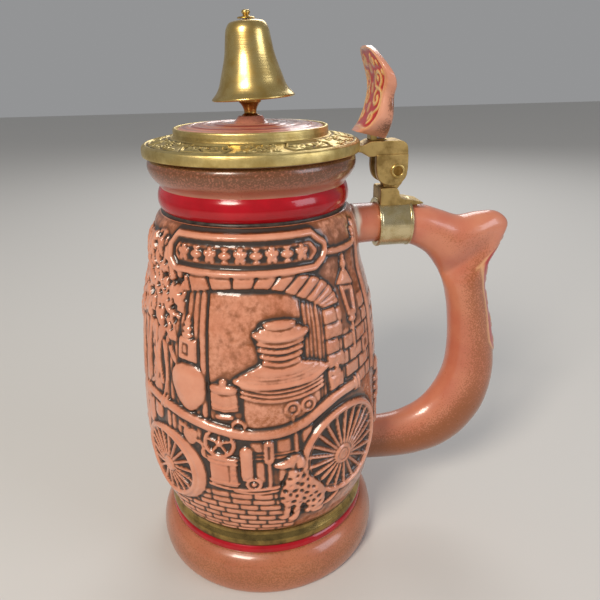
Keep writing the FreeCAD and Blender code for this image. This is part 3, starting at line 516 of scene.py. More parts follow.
def drawFront():
    plate(clay, [(-24, 84), (13, 84), (13, 139), (-24, 139.5)], 0.5, 0.0, 2, 0.5)
    drawPlanks(-46, -24.4, 80, 139, 7, 0.9)
    score(clay, [(-24.1, 84), (-24.1, 139)], 0.8, 0.35)
    drawPlanks(13.6, 22.5, 92, 134, 5, 0.9)
    stroke(clay, [(-46.5, 124), (-38.6, 110)], 1.0, 1.35, 0.4, 0.5)
    drawBricks(22.5, 51, 93, 129.5, 6, 9.2, 0.85, slope=0.06)
    drawBricks(56, 74, 92, 126, 6, 8.8, 0.7)
    for k in range(5):
        z, wide = 101 + 6.0 * k, 31.2 if k % 2 else 28.8
        plate(clay, [(22.6, z), (wide, z), (wide, z + 5.4), (22.6, z + 5.4)], 1.25, 0.15, 2, 0.45)
    drawArch([(-42, 143.8), (-30, 145.6), (-14, 146.6), (2, 146.4), (14, 145.2), (22, 142.8), (28, 139), (31, 134.6),
              (31.6, 131.4)],
             [(-42, 137.4), (-28, 139.8), (-14, 141.2), (-2, 141.2), (7, 139.4), (14, 136.6), (19, 134), (22, 132),
              (22.6, 131)], 12)
    drawFoliage(-86, -36, 116, 158)
    for x, low, high in ((-52, 84, 121), (-60, 70, 122), (-68, 60, 121)):
        drawTrunk(x, low, high)
    for line in ([(-47, 99), (-50, 112), (-45, 122)], [(-56, 96), (-50, 103), (-53, 112)],
                 [(-47, 92), (-44, 104), (-46, 117)]):
        stroke(clay, line, 0.9, 1.3, 0.5, 0.45, smooth=5)
    stroke(clay, [(28.4, 151.2), (38, 150.4), (46, 150.6), (53, 151.2)], 1.1, 1.9, 0.8, 0.6, smooth=4)
    drawPlaque(-44.5, 28, 146.6, 159.4)
    stroke(clay, [(53, 158), (53.2, 96)], 1.3, 1.3, 0.5, 0.55)
    stroke(clay, [(55.8, 158), (56, 96)], 0.6, 1.0, 0.4, 0.4)
    for z, wide in ((151.6, 1.7), (153.8, 1.2), (155.6, 1.5)):
        blob(clay, 50.6, z, wide, 1.1, 1.6, 0.5)
    plate(clay, [(32, 120), (45, 120), (45, 145), (32, 145)], 0.35, 0.0, 2, 0.0)
    drawLantern(38.6, 135.4, 1.42)
    plate(clay, [(44.5, 106), (50.5, 106.6), (50.5, 113.4), (44.5, 112.6)], 0.9, 0.1, 2, 0.5)
    plate(clay, [(46, 107.6), (49, 108), (49, 111.6), (46, 111.2)], 0.3, 0.0, 2, 0.0)
    blob(clay, 27, 104.4, 2.4, 2.2, 1.5, 0.5)                                    # side lamp
    blob(clay, 27, 107.2, 1.0, 1.6, 1.7, 0.5)
    plate(clay, [(23.4, 97.4), (30.2, 98.6), (30, 104), (23.4, 103)], 1.7, 0.25, 2.5, 0.6)
    blob(clay, 27.2, 100.6, 1.7, 1.7, 1.2, 0.1, 0, 0.2, ring=0.8)
    for z, wide in ((122.8, 2.6), (125.2, 2.1), (127.4, 1.6), (129.2, 0.9)):     # post lamp at the left
        blob(clay, -32.8, z, wide, 1.25, 1.7, 0.6)
    plate(clay, [(-37, 113.2), (-28.6, 112.4), (-28.4, 121.2), (-36.6, 121.8)], 1.7, 0.25, 3, 0.6)
    plate(clay, [(-35.4, 115), (-32, 114.6), (-32, 119.6), (-35.2, 120)], 0.5, 0.0, 2, 0.0)
    plate(clay, [(-34.6, 115.9), (-32.8, 115.7), (-32.8, 118.8), (-34.4, 119)], 1.3, 0.1, 1, 0.0)
    # lidded can
    plate(clay, [(-23.4, 104), (-23, 94.6), (-18, 93.6), (-12.6, 94.6), (-12.6, 104)], 1.5, 0.5, 6, 0.6)
    blob(clay, -18, 103.6, 5.7, 1.9, 1.9, 0.5, 0, 0.5)
    blob(clay, -18, 106.2, 1.5, 1.2, 1.9, 0.5)
    stroke(clay, [(-22.6, 96.6), (-18, 95.6), (-13, 96.6)], 0.5, 1.9, 0.4, 0.4, smooth=4)
    stroke(clay, [(-20.6, 91.6), (-15.4, 91.6)], 0.9, 1.3, 0.4, 0.5)
    drawBoiler()
    drawSmallWorks()
    blob(clay, -12.8, 88, 2.3, 2.3, 1.8, 0.5, 0, 0.5, ring=1.2)
    plate(clay, [(-41.2, 104), (-39, 109.6), (-33, 111.8), (-27, 109.6), (-24.9, 103), (-26.4, 96.4), (-31, 91.6),
                 (-34, 91.2), (-38.6, 96)],
          2.1, 1.35, 8.2, 0.8, smooth=5)                                            # air chamber
    drawHose([(-60, 91.4), (-54, 92), (-47, 91.2), (-37, 89.4), (-29, 87.8), (-20, 86), (-12, 84.6), (-4, 84.4),
              (4, 85.2),
              (12, 87.8), (19, 91.6), (25, 94.2), (31, 95.4), (37, 95.6)])
    drawBricks(-50, 8, 31.5, 56.5, 8, 8.6, 0.95, bow=-1.6)                       # cobbled path
    drawWheel(31.4, 67.8, 20.6, 20.4, 22, 4.4, hubAt=(-2.2, -1.8))
    drawWheel(-48.4, 61.4, 16.2, 16.4, 18, 3.4, -8, 1.8, sideways=4.2, hubAt=(0.6, -1.4))
    drawDog()
    blob(clay, 63, 92, 4.4, 3.4, 1.8, 0.9)                                        # second pump by the handle
    for z in (86.4, 82, 77.6):
        stroke(clay, [(58.6, z), (67.6, z + 0.4)], 1.5, 1.8, 0.8, 0.6)
    for z in (71, 65):
        blob(clay, 63, z, 3.4, 3.0, 1.6, 0.7, 0, 0.5, ring=1.4)


# Engine house on the back: doors under an arch, brick walls, a ladder and a hose reel
def drawStation():
    plate(clay, [(-27, 60), (27, 60), (27, 138), (-27, 138)], 0.35, 0.0, 2, 0.5)
    drawBricks(-58, -30, 60, 141, 13, 9.0, 0.75)
    drawBricks(30, 56, 60, 141, 13, 9.0, 0.75)
    for side in (-1, 1):
        drawPlanks(side * 13.5 - 12.6, side * 13.5 + 12.6, 60, 132, 7, 0.85)
        for z in (72, 98, 124):
            stroke(clay, [(side * 1.6, z), (side * 25.6, z)], 1.5, 1.35, 0.4, 0.45)
        stroke(clay, [(side * 2, 74), (side * 25, 96)], 1.3, 1.3, 0.4, 0.45)
        for z in (84, 110):
            blob(clay, side * 24.4, z, 1.4, 2.2, 1.7, 0.4)
        for k in range(6):
            z, wide = 62 + 12.2 * k, 33 if k % 2 else 31
            corners = [(27.4, z), (wide, z), (wide, z + 11.2), (27.4, z + 11.2)]
            plate(clay, [(side * x, z1) for x, z1 in corners], 1.3, 0.15, 2, 0.45)
    stroke(clay, [(0, 61), (0, 137)], 0.6, 1.5, 0.4, 0.5)
    drawArch([(-36, 131), (-30, 138), (-20, 143.6), (0, 146.4), (20, 143.6), (30, 138), (36, 131)],
             [(-29, 131), (-24, 135.4), (-15, 139), (0, 141), (15, 139), (24, 135.4), (29, 131)], 13)
    drawPlaque(-36, 36, 147.6, 159.6)
    drawLantern(-43, 128, 1.0)
    drawLantern(44, 128, 1.0)
    drawWheel(-15.7, 66, 20.4, 20.4, 22, 4.4)
    blob(clay, 21, 60, 12.4, 12.6, 1.3, 0.2, 0, 0.7)                               # coiled hose
    for reach in (11.2, 8.6, 6.0, 3.4):
        blob(clay, 21, 60, reach, reach, 1.95, 0.7, 0, 0.4, ring=2.0)
    stroke(clay, [(32.6, 62), (38, 54), (44, 47), (52, 44)], 1.4, 1.8, 0.8, 0.5, smooth=5)
    for side in (-1, 1):
        stroke(clay, [(side * 2.6 + 50, 44), (side * 2.6 + 50, 118)], 0.75, 1.6, 0.5, 0.45)
    for k in range(14):
        stroke(clay, [(47.6, 47 + 5.2 * k), (52.4, 47 + 5.2 * k)], 0.6, 1.45, 0.4, 0.3)
    drawBricks(-40, 58, 31.5, 45.5, 5, 8.6, 0.9)


print("drawing the relief")
drawFront()
clay["shift"] = mugDesign["backCentre"]
drawStation()
clay["shift"] = 0.0
drawFoliage(-140, -100, 113, 157)
for x in (-124, -114):
    drawTrunk(x, 44, 116)
drawBricks(-112, -62, 31.5, 52, 6, 8.6, 0.85)
for x in (-97.6, -93.2, -88.8, -84.4, -80.0):            # picket fence between the trees
    plate(clay, [(x - 1.5, 60), (x + 1.5, 60), (x + 1.5, 104 + wobble(0.4)), (x, 107.5), (x - 1.5, 104)], 0.95, 0.2, 3,
          0.45)
for z in (82, 97):
    stroke(clay, [(-100, z), (-78, z + wobble(0.5))], 1.2, 1.35, 0.4, 0.4)
drawFoliage(-108, -74, 52, 76)
height = clay["height"]
for nearSeam in (sheetX > 73.5, sheetX < -229):
    height[:, nearSeam] = mugDesign["seamHeight"]
height = 1.08 * (0.6 * blurred(height, 0.7, 0.75) + 0.4 * blurred(height, 2.4, 2.4)) + 0.03 * grain
height = np.clip(height, mugDesign["leastHeight"], mugDesign["mostHeight"])
rise = softStep(31.8, 33.6, sheetZ) * softStep(162.0, 160.8, sheetZ)
height = height * rise[:, None] + 0.25 * (1 - rise[:, None])
mmPerColumn = fullTurn * mugDesign["sheetRadius"] / mugDesign["columns"]


# how far each place lies under what is round it, at this size in mm
def hollows(size):
    return blurred(height, size / mugDesign["rowStep"], size / mmPerColumn) - height


fine, middleScale, broad = hollows(1.4), hollows(2.4), hollows(4.0)
lowGround = np.clip(0.6 - height, 0, 1)
# Stain mark: the brown wash left in the hollows plus painted shade; deeper hollows, halos round raised forms and low
# ground come out darker
stain_and_shade = np.clip(0.55 * fine / 0.4 + 0.4 * middleScale / 0.6 + 0.22 * broad / 0.8 + 0.08 + 0.42 * lowGround, 0, 1)
patches = noiseField(height.shape, (14, 14), chance)
# Wash mark: the glaze's amber tone on low ground and in random patches, plus painted shade in the halos round raised
# forms
wash_and_shade = (0.2 + 0.12 * patches + 0.6 * np.clip(0.95 - height, 0, 1) + 0.8 * np.clip(middleScale, 0, 1)
        + 0.9 * np.clip(broad, 0, 1))
wash_and_shade = np.clip(wash_and_shade, 0, 1) * softStep(1.9, 1.3, height)
scorched = np.exp(-((sheetX[None, :] - 3) / 12) ** 2 - ((sheetZ[:, None] - 91) / 6) ** 2)
scorched = scorched * softStep(-0.5, 0.5, patches + 0.5 * grain)
wash_and_shade = np.clip(wash_and_shade + 1.1 * scorched, 0, 1)           # soot-brown blotches on the boiler drum


def noiseNode(tree, where, scale, detail, roughness=0.5):
    links = {"Vector": where, "Scale": scale, "Detail": detail, "Roughness": roughness}
    return addNode(tree, "ShaderNodeTexNoise", None, links).outputs["Fac"]


def markNode(tree, mark):                             # one of the marks that a piece's points carry
    return addNode(tree, "ShaderNodeAttribute", {"attribute_name": mark}).outputs["Fac"]


def mathNode(tree, operation, *values):
    return addNode(tree, "ShaderNodeMath", {"operation": operation}, dict(enumerate(values))).outputs[0]


def rangeNode(tree, value, fromMin=0.0, fromMax=1.0, toMin=0.0, toMax=1.0, kind="LINEAR"):
    links = {"Value": value, "From Min": fromMin, "From Max": fromMax, "To Min": toMin, "To Max": toMax}
    return addNode(tree, "ShaderNodeMapRange", {"interpolation_type": kind}, links).outputs["Result"]


def mixNode(tree, share, under, tint):
    return addNode(tree, "ShaderNodeMix", {"data_type": "RGBA"}, {0: share, 6: under, 7: shade(tint)}).outputs[2]


def rampNode(tree, value, *stops):
    ramp = addNode(tree, "ShaderNodeValToRGB", None, {"Fac": value})
    for element, (stop, tint) in zip(ramp.color_ramp.elements, stops):
        element.position = stop
        element.color = shade(tint)
    return ramp.outputs["Color"]


def wireUp(tree, shader, colour, gloss, grain, strength, distance):
    bump = addNode(tree, "ShaderNodeBump", None, {"Strength": strength, "Distance": distance, "Height": grain})
    for socket, value in (("Base Color", colour), ("Roughness", gloss), ("Normal", bump.outputs["Normal"])):
        tree.links.new(value, shader.inputs[socket])


# Hand-stained stoneware: a brown wash is wiped off the raised clay and stays in every hollow, under a clear glaze.
# The marks also carry painted shade, darker in the hollows and in halos round the raised forms.
# Pale tops over dark hollows let the eye read a low relief.
def stainedAndShadedGlaze(name, light, clayTint, brown, dark, amber):
    material, tree, shader = newFinish(name, IOR=1.5, Coat_Weight=0.7, Coat_Roughness=0.09)
    where = addNode(tree, "ShaderNodeTexCoord").outputs["Object"]
    cloud = noiseNode(tree, where, 90.0, 3.0)             # 11 mm clouds
    speckle = noiseNode(tree, where, 620.0, 4.0, 0.65)
    colour = rampNode(tree, cloud, (0.3, clayTint), (0.7, light))
    broken = rangeNode(tree, speckle, 0.38, 0.62, 0.25, 1.0)
    colour = mixNode(tree, mathNode(tree, "MULTIPLY", markNode(tree, "wash_and_shade"), broken), colour, amber)
    ragged = mathNode(tree, "MULTIPLY_ADD", speckle, 0.34, -0.17)
    depth = mathNode(tree, "ADD", markNode(tree, "stain_and_shade"), ragged)
    for low, high, tint in ((0.02, 0.46, brown), (0.4, 0.98, dark)):
        colour = mixNode(tree, rangeNode(tree, depth, low, high, kind="SMOOTHSTEP"), colour, tint)
    wireUp(tree, shader, colour, rangeNode(tree, depth, toMin=0.3, toMax=0.55), speckle, 0.25, 0.00015)
    return material


# Terracotta glaze with a brown spray: droplets merge into a haze where the spray mark is strong, so plain areas look
# airbrushed and aged. Painted marks, each (mark name, colour), lie over it.
def sprayedGlaze(name, clayTint, light, spray, amount=1.0, paints=()):
    material, tree, shader = newFinish(name, IOR=1.5, Coat_Weight=0.5, Coat_Roughness=0.1)
    where = addNode(tree, "ShaderNodeTexCoord").outputs["Object"]
    mark = markNode(tree, "spray")
    drops = noiseNode(tree, where, 1500.0, 2.0)           # 0.7 mm drops, drawn coarse
    fine = noiseNode(tree, where, 420.0, 5.0, 0.7)
    colour = rampNode(tree, noiseNode(tree, where, 70.0, 3.0), (0.32, clayTint), (0.68, light))
    cover = mathNode(tree, "MULTIPLY_ADD", mark, 0.42 * amount, -0.21)
    dots = rangeNode(tree, mathNode(tree, "ADD", drops, cover), 0.46, 0.62, kind="SMOOTHSTEP")
    colour = mixNode(tree, mathNode(tree, "MULTIPLY", mark, 0.55 * amount), colour, spray)
    colour = mixNode(tree, mathNode(tree, "MULTIPLY", dots, mark), colour, spray)
    for paint, tint in paints:
        colour = mixNode(tree, markNode(tree, paint), colour, tint)
    wireUp(tree, shader, colour, rangeNode(tree, fine, toMin=0.22, toMax=0.38), fine, 0.2, 0.00012)
    return material


# Brushed-on enamel, fired glossy: the colour pools a little and the surface is faintly wavy, like wet paint
def glossEnamel(name, deepTint, tint):
    material, tree, shader = newFinish(name, IOR=1.45, Coat_Weight=0.25, Coat_Roughness=0.05)
    pool = noiseNode(tree, addNode(tree, "ShaderNodeTexCoord").outputs["Object"], 110.0, 4.0)
    colour = rampNode(tree, pool, (0.3, deepTint), (0.7, tint))
    wireUp(tree, shader, colour, rangeNode(tree, pool, toMin=0.1, toMax=0.24), pool, 0.3, 0.0003)
    return material


# Cast or spun brass: tarnish clouds over bright metal, dark in the hollows where polish doesn't reach
def brass(name, bright, dull, dark, roughness, grainSize, depth, spun=False, marked=False):
    material, tree, shader = newFinish(name, Metallic=1.0)
    where = addNode(tree, "ShaderNodeTexCoord").outputs["Object"]
    cloud = noiseNode(tree, where, 160.0, 6.0, 0.62)
    if spun:                                          # lathe lines run round, so the pattern is squeezed along Z
        stretched = addNode(tree, "ShaderNodeMapping", None, {"Vector": where, "Scale": (60.0, 60.0, 2600.0)})
        fine = noiseNode(tree, stretched.outputs["Vector"], 1.0, 3.0)
    else:
        fine = noiseNode(tree, where, 1 / grainSize, 3.0, 0.7)
    colour = rampNode(tree, cloud, (0.36, dull), (0.58, bright))
    if marked:
        total = mathNode(tree, "ADD", markNode(tree, "stain_and_shade"), mathNode(tree, "MULTIPLY_ADD", fine, 0.5, -0.25))
        colour = mixNode(tree, rangeNode(tree, total, 0.15, 0.85, kind="SMOOTHSTEP"), colour, dark)
    gloss = rangeNode(tree, cloud, 0.3, 0.7, roughness + 0.1, roughness - 0.05)
    wireUp(tree, shader, colour, gloss, fine, depth, 0.0002)
    return material


def plainClay(name, tint, deep, roughness, scale, depth):     # one tint with grit in it
    material, tree, shader = newFinish(name, IOR=1.5)
    grit = noiseNode(tree, addNode(tree, "ShaderNodeTexCoord").outputs["Object"], scale, 5.0, 0.6)
    colour = rampNode(tree, grit, (0.35, deep), (0.65, tint))
    wireUp(tree, shader, colour, rangeNode(tree, grit, toMin=roughness - 0.08, toMax=roughness + 0.08), grit, depth,
           0.0002)
    return material


print("mixing the finishes")
reliefStoneware = stainedAndShadedGlaze("stained_stoneware_with_painted_shade", "#DF9C7E", "#CC8263", "#7C4218", "#281608", "#9A5626")
footStoneware = sprayedGlaze("sprayed_glazed_stoneware", "#B4684A", "#C27855", "#8A5228", 0.8)      # warm, mottled base
# darker toward the rim
lipStoneware = sprayedGlaze("sprayed_lip_glaze", "#A8624A", "#B8745A", "#6A4024", 0.8)
redEnamel = glossEnamel("brushed_red_enamel", "#98000F", "#B40018")                                 # two bright bands
# worn, shining
goldLustre = brass("fired_gold_lustre", "#A88C52", "#6C5A36", "#241A0C", 0.2, 0.0006, 0.15, marked=True)
paintedShadowLine = plainClay("painted_shadow_line_clay", "#4A4038", "#1E1813", 0.35, 300.0, 0.2)                  # painted shadow: a thin dark line under the red lip band
ivoryGlaze = plainClay("poured_ivory_glaze", "#E9DCC4", "#DCCBAE", 0.2, 60.0, 0.05)                 # smooth pale inside
# dull gritty underside
bareClay = plainClay("bare_fired_stoneware", "#C69A7C", "#A87B5E", 0.85, 900.0, 0.5)
# browner at the edges
handleStoneware = sprayedGlaze("sprayed_pulled_handle_glaze", "#C8745A", "#D68A6A", "#8E4E22",
                               paints=(("red", "#B01C1C"), ("gold", "#E2B27E"), ("slip", "#EADFCC")))
# gilded curls on red; the brown spray tint is painted shade in the lift's creases
thumbStoneware = sprayedGlaze("painted_press_moulded_glaze", "#D08A6E", "#DC9C80", "#6A3C1E",
                              paints=(("red", "#B81008"), ("gold", "#E2B878")))
inlayStoneware = sprayedGlaze("painted_thrown_inlay_glaze", "#CC8068", "#DA947C", "#7A4A2C",        # thin brushed rings
                              paints=(("red", "#7E1818"),))
# dark lines between bright scrolls
engravedBrass = brass("die_cast_antiqued_brass", "#E0C884", "#BCA262", "#5E4820", 0.36, 0.0005, 0.4, marked=True)
sandCastBrass = brass("sand_cast_brass", "#C2A468", "#8E7444", "#3A2A12", 0.4, 0.00045, 0.9)        # pitted and dull
# fine lathe lines that draw the highlights out into rings
polishedBrass = brass("spun_polished_brass", "#DCC07C", "#C0A05C", "#5A4318", 0.26, 0.0004, 0.12, spun=True)
# pale and nearly mirror-bright
strapBrass = brass("brushed_strap_brass", "#DCCBA0", "#BCA878", "#5A4620", 0.24, 0.0004, 0.3, spun=True)
# deeper gold and a shade duller than the bell
postBrass = brass("turned_post_brass", "#C09450", "#8A662E", "#3A2810", 0.3, 0.0004, 0.2, spun=True)
# greyer than brass
plainSteel = brass("drawn_plated_steel", "#C9C6BE", "#9C9890", "#4A4844", 0.25, 0.0003, 0.15, spun=True)
plaster = plainClay("set_plaster_bedding", "#DDD6C8", "#C8BFAE", 0.9, 700.0, 0.4)                   # chalky


mugFinishes = {"relief": reliefStoneware, "foot": footStoneware, "enamel": redEnamel, "lustre": goldLustre,
               "stain_and_shade": paintedShadowLine, "lip": lipStoneware, "clay": bareClay, "ivory": ivoryGlaze}
print("turning the mug")
bodyLine = smoothLine([(44.5, 28.5), (46.3, 33), (48.9, 40), (50.9, 50), (51.9, 59), (52.1, 68), (51.9, 80), (51.2, 93),
                       (50.1, 108),
                       (48.3, 123), (46.3, 131.5), (43.9, 140), (42.9, 148), (42.0, 154), (40.6, 158.6), (39.4, 160.8),
                       (38.2, 162.1)], 12)
bodyRadius = np.interp(sheetZ, bodyLine[:, 1], bodyLine[:, 0])
mugParts = (                                          # finish, steps a run, outline
    ("clay", 3, [(0.01, 3), (20, 3), (38, 3), (41, 2.8), (42.6, 0.3), (43.6, 0), (48.8, 0)]),
    ("foot", 6, [(48.8, 0), (50.2, 0.5), (51.3, 3), (51.8, 7), (51.6, 10), (50.5, 14), (48.6, 17.2), (46.9, 18.8),
                 (46.2, 19.2)]),
    ("enamel", 4, [(46.2, 19.3), (46.5, 20.0), (46.3, 21.4), (45.6, 22.5)]),
    ("lustre", 6, [(45.5, 22.6), (46.1, 23.2), (46.4, 24.4), (46.3, 25.8), (45.5, 27.4), (44.9, 28.8), (45.1, 30.2),
                   (45.7, 31.6)]),
    ("relief", 0, None),
    # painted shadow: a thin dark ring in the recessed step under the red lip band
    ("stain_and_shade", 4, [(38.1, 162.2), (37.5, 162.5), (37.2, 162.9), (37.2, 163.3)]),
    ("enamel", 5, [(37.3, 163.4), (38.0, 164.3), (38.6, 165.9), (38.75, 167.4), (38.6, 169.0), (38.2, 170.6),
                   (37.5, 171.9)]),
    ("lip", 5, [(37.3, 172.1), (37.6, 172.9), (38.4, 174.0), (39.7, 175.4), (40.8, 177.1), (41.5, 179.0), (41.6, 180.8),
                (41.2, 182.2), (40.3, 183.1)]),
    ("ivory", 4, [(39.5, 183.2), (39, 183.6), (38.2, 183.7), (36.8, 183.3), (35.7, 182), (35.3, 180), (33.3, 172),
                  (33, 165), (33.4, 158), (36.5, 148),
            (39.5, 138), (42.5, 124), (44.6, 105), (45.4, 85), (45.5, 62), (44.5, 48), (41.5, 35), (38.4, 26),
            (37.4, 18), (35.4, 12.6),
            (31, 10.2), (20, 10), (0.01, 10)]),
)
points, slots, marks = [], [], {"stain_and_shade": [], "wash_and_shade": [], "spray": []}
turnOfColumn = sheetX / mugDesign["sheetRadius"]
for finish, steps, outline in mugParts:
    if finish == "relief":
        radius = bodyRadius[:, None] + height
        up = np.repeat(sheetZ[:, None], mugDesign["columns"], 1)
    else:
        line = smoothLine(outline, steps)
        radius, up = (np.repeat(line[:, k:k + 1], mugDesign["columns"], 1) for k in (0, 1))
    rowMarks = {"stain_and_shade": 0 * up, "wash_and_shade": 0 * up, "spray": 0 * up}
    if finish == "relief":
        rowMarks["stain_and_shade"], rowMarks["wash_and_shade"] = stain_and_shade, wash_and_shade
    if finish == "foot":                              # sprayed from both edges
        rowMarks["spray"] = (0.45 + 0.3 * softStep(1.5, 7, up) * softStep(18.5, 10, up)
                             + 0.5 * softStep(18.4, 19.5, up))
    if finish == "lip":
        rowMarks["spray"] = 0.25 + 0.75 * softStep(173, 179.5, up)
    if finish == "lustre":                            # dark in the grooves of the gold band
        rowMarks["stain_and_shade"] = (0.8 * softStep(24.2, 22.8, up) + 0.15 * softStep(26, 28.6, up) * softStep(30.6, 29, up)
                             + 0.9 * softStep(30.8, 31.6, up))
    points.append(np.stack([radius * np.sin(turnOfColumn), -radius * np.cos(turnOfColumn), up], -1))
    slots += [list(mugFinishes).index(finish)] * len(points[-1])
    for key in marks:
        marks[key].append(rowMarks[key])
mug = gridMesh("stein_body", np.vstack(points), "cap", {key: np.vstack(rows) for key, rows in marks.items()},
               np.array(slots))
place(mug, "stein", "relief_glaze", "mug_body", finishes=mugFinishes.values())


print("pulling the handle")
handleDesign = {"columns": 104, "steps": 12, "panelHalf": 7.6, "panelFrom": 8.7, "panelTo": 15.2,
                "panelRise": 0.35, "scrollRise": 0.9, "rimRise": 0.7, "reach": 113.6}
handleRuns = (                                        # inner point, outer point, half width
    ((41, 143.0), (41, 160.3), 8.4), ((52, 143.6), (51, 160.3), 8.4), ((62, 142.9), (64, 159.9), 8.4),
    ((69.5, 140.6), (74, 158.3), 8.5), ((75, 137.2), (82, 155.6), 8.7), ((78.2, 133.8), (90, 153.1), 9.0),
    ((80.2, 131), (99, 154.2), 9.1), ((81.8, 128.6), (107.4, 153.9), 8.2), ((83.0, 126.2), (113.0, 148.6), 6.6),
    ((84.2, 123.8), (109.6, 139.6), 7.4), ((85.3, 121), (105.4, 131.5), 8.6), ((86.4, 117.8), (104.4, 122.5), 9.2),
    ((87.4, 113.6), (105.4, 115.6), 9.4), ((88.5, 108), (107.4, 108.2), 9.5), ((89.6, 98), (110, 98.6), 9.6),
    ((90, 88.9), (112.2, 88), 9.8), ((89.5, 80.5), (113.4, 77.6), 10.0), ((88, 74), (112.7, 66.4), 10.0),
    ((85.3, 68.2), (110, 55.6), 9.9), ((81.5, 62.6), (105.6, 47.4), 9.7), ((77, 58.4), (98.6, 39.2), 9.5),
    ((71, 55.2), (88.4, 32.8), 9.2), ((64, 53), (75, 29.6), 9.0), ((56, 52.2), (61.5, 29.2), 8.9),
    ((47, 52.2), (49, 29.8), 8.8),
)
inner = smoothLine([run[0] for run in handleRuns], handleDesign["steps"])
outer = smoothLine([run[1] for run in handleRuns], handleDesign["steps"])
wide = smoothLine([(run[2], 0) for run in handleRuns], handleDesign["steps"])[:, 0]
around = np.arange(handleDesign["columns"]) * fullTurn / handleDesign["columns"]
middle, arm = 0.5 * (inner + outer), 0.5 * (outer - inner)
travel = np.concatenate([[0], np.cumsum(np.hypot(*np.diff(outer, axis=0).T))])
armReach = np.cos(around)[None, :]
side = np.sin(around)[None, :] * wide[:, None]
handlePoints = np.stack([middle[:, :1] + arm[:, :1] * armReach, side, middle[:, 1:] + arm[:, 1:] * armReach], -1)
panelStart, panelEnd = (travel[int(handleDesign[key] * handleDesign["steps"])] for key in ("panelFrom", "panelTo"))
facesOut = armReach > 0
panelHeight = panelEnd - panelStart
panel = newSheet(np.arange(-9, 9.01, 0.25), np.arange(-3, panelHeight + 3, 0.25), 0.0)
half = handleDesign["panelHalf"]
panelRing = [(-half * 0.5, 0), (half * 0.5, 0), (half, 7), (half * 0.86, panelHeight * 0.5), (half, panelHeight - 7),
             (half * 0.4, panelHeight), (-half * 0.4, panelHeight), (-half, panelHeight - 7),
             (-half * 0.86, panelHeight * 0.5), (-half, 7)]
plate(panel, panelRing, 0.45, 0, 2, 0.15, smooth=3)
panelMask = panel["height"] > 0.2
scrolls = newSheet(panel["x"], panel["z"], 0.0)


def drawScroll(sheet, x, z, size, turnFrom, mirror=1, radius=0.55):
    curl = [(x + mirror * size * (1 - 0.75 * t) * math.cos(turnFrom + 5.2 * t),
             z + size * (1 - 0.75 * t) * math.sin(turnFrom + 5.2 * t)) for t in np.linspace(0, 1, 9)]
    stroke(sheet, curl, radius, 0.6, 0.2, 0.0, smooth=2)
    blob(sheet, *curl[-1], radius * 1.5, radius * 1.5, 0.6, 0.2, 0, 0.0)


for k in range(5):
    z = 5.5 + (panelHeight - 11) * k / 4
    for mirror in (-1, 1):
        drawScroll(scrolls, mirror * 2.4, z, 2.2, -1.6, mirror)
        stroke(scrolls, [(mirror * 0.6, z - 3.6), (mirror * 1.4, z + 1.2), (mirror * 4.0, z + 3.8)], 0.5, 0.6, 0.2, 0.0,
               smooth=4)
    blob(scrolls, 0, z + 3.2, 0.9, 1.4, 0.6, 0.2, 0, 0.0)
rims = newSheet(panel["x"], panel["z"], 0.0)
stroke(rims, panelRing + panelRing[:1], 0.4, 0.6, 0.2, 0.0, smooth=3)


def readSheet(field, sheet, x, z):                    # bilinear reading of a sheet at any place, 0 outside it
    u = (x - sheet["x"][0]) / (sheet["x"][1] - sheet["x"][0])
    v = (z - sheet["z"][0]) / (sheet["z"][1] - sheet["z"][0])
    inside = (u > 0) & (u < len(sheet["x"]) - 1) & (v > 0) & (v < len(sheet["z"]) - 1)
    u, v = np.clip(u, 0, len(sheet["x"]) - 1.001), np.clip(v, 0, len(sheet["z"]) - 1.001)
    i, j = v.astype(int), u.astype(int)
    a, b = v - i, u - j
    value = (field[i, j] * (1 - a) * (1 - b) + field[i + 1, j] * a * (1 - b)
             + field[i, j + 1] * (1 - a) * b + field[i + 1, j + 1] * a * b)
    return np.where(inside, value, 0)


along = np.repeat((travel - panelStart)[:, None], len(around), 1)
redMark = readSheet(panelMask.astype(float), panel, side, along) * facesOut
lump = readSheet(scrolls["height"], panel, side, along) * facesOut
rimLump = readSheet(rims["height"], panel, side, along) * facesOut
outward = arm / np.hypot(arm[:, :1], arm[:, 1:])
push = (handleDesign["panelRise"] * redMark + handleDesign["scrollRise"] * lump
        + handleDesign["rimRise"] * rimLump) * np.clip(armReach, 0, 1)
handlePoints[:, :, 0] += outward[:, :1] * push
handlePoints[:, :, 2] += outward[:, 1:] * push
handlePoints[:, :, 0] = np.minimum(handlePoints[:, :, 0], handleDesign["reach"])
handleX, handleUp = handlePoints[:, :, 0], handlePoints[:, :, 2]
sprayMark = (0.12 + 0.62 * softStep(-1.0, 0.15, armReach) * softStep(146, 122, handleUp)
             + 0.3 * softStep(78, 52, handleUp) * softStep(-1.0, 0, armReach)
             + 0.35 * softStep(0.7, 0.0, np.abs(armReach - 0.1)) * softStep(118, 150, handleUp) * softStep(66, 84,
                     handleX))
slipMark = softStep(44.0, 42.6, handleX + 0.3 * np.sin(handleUp * 0.8)) * softStep(146, 151,
        handleUp) * (handlePoints[:, :, 1] < 0)
handle = gridMesh("pulled_handle", handlePoints, "cap", {
    "spray": np.clip(sprayMark * (1 - redMark), 0, 1), "red": np.clip(redMark * 1.4, 0, 1),
    "gold": np.clip(1.9 * lump + 1.2 * rimLump, 0, 1), "slip": slipMark})
place(handle, "stein", "handle_glaze", "handle", finishes=(handleStoneware,))


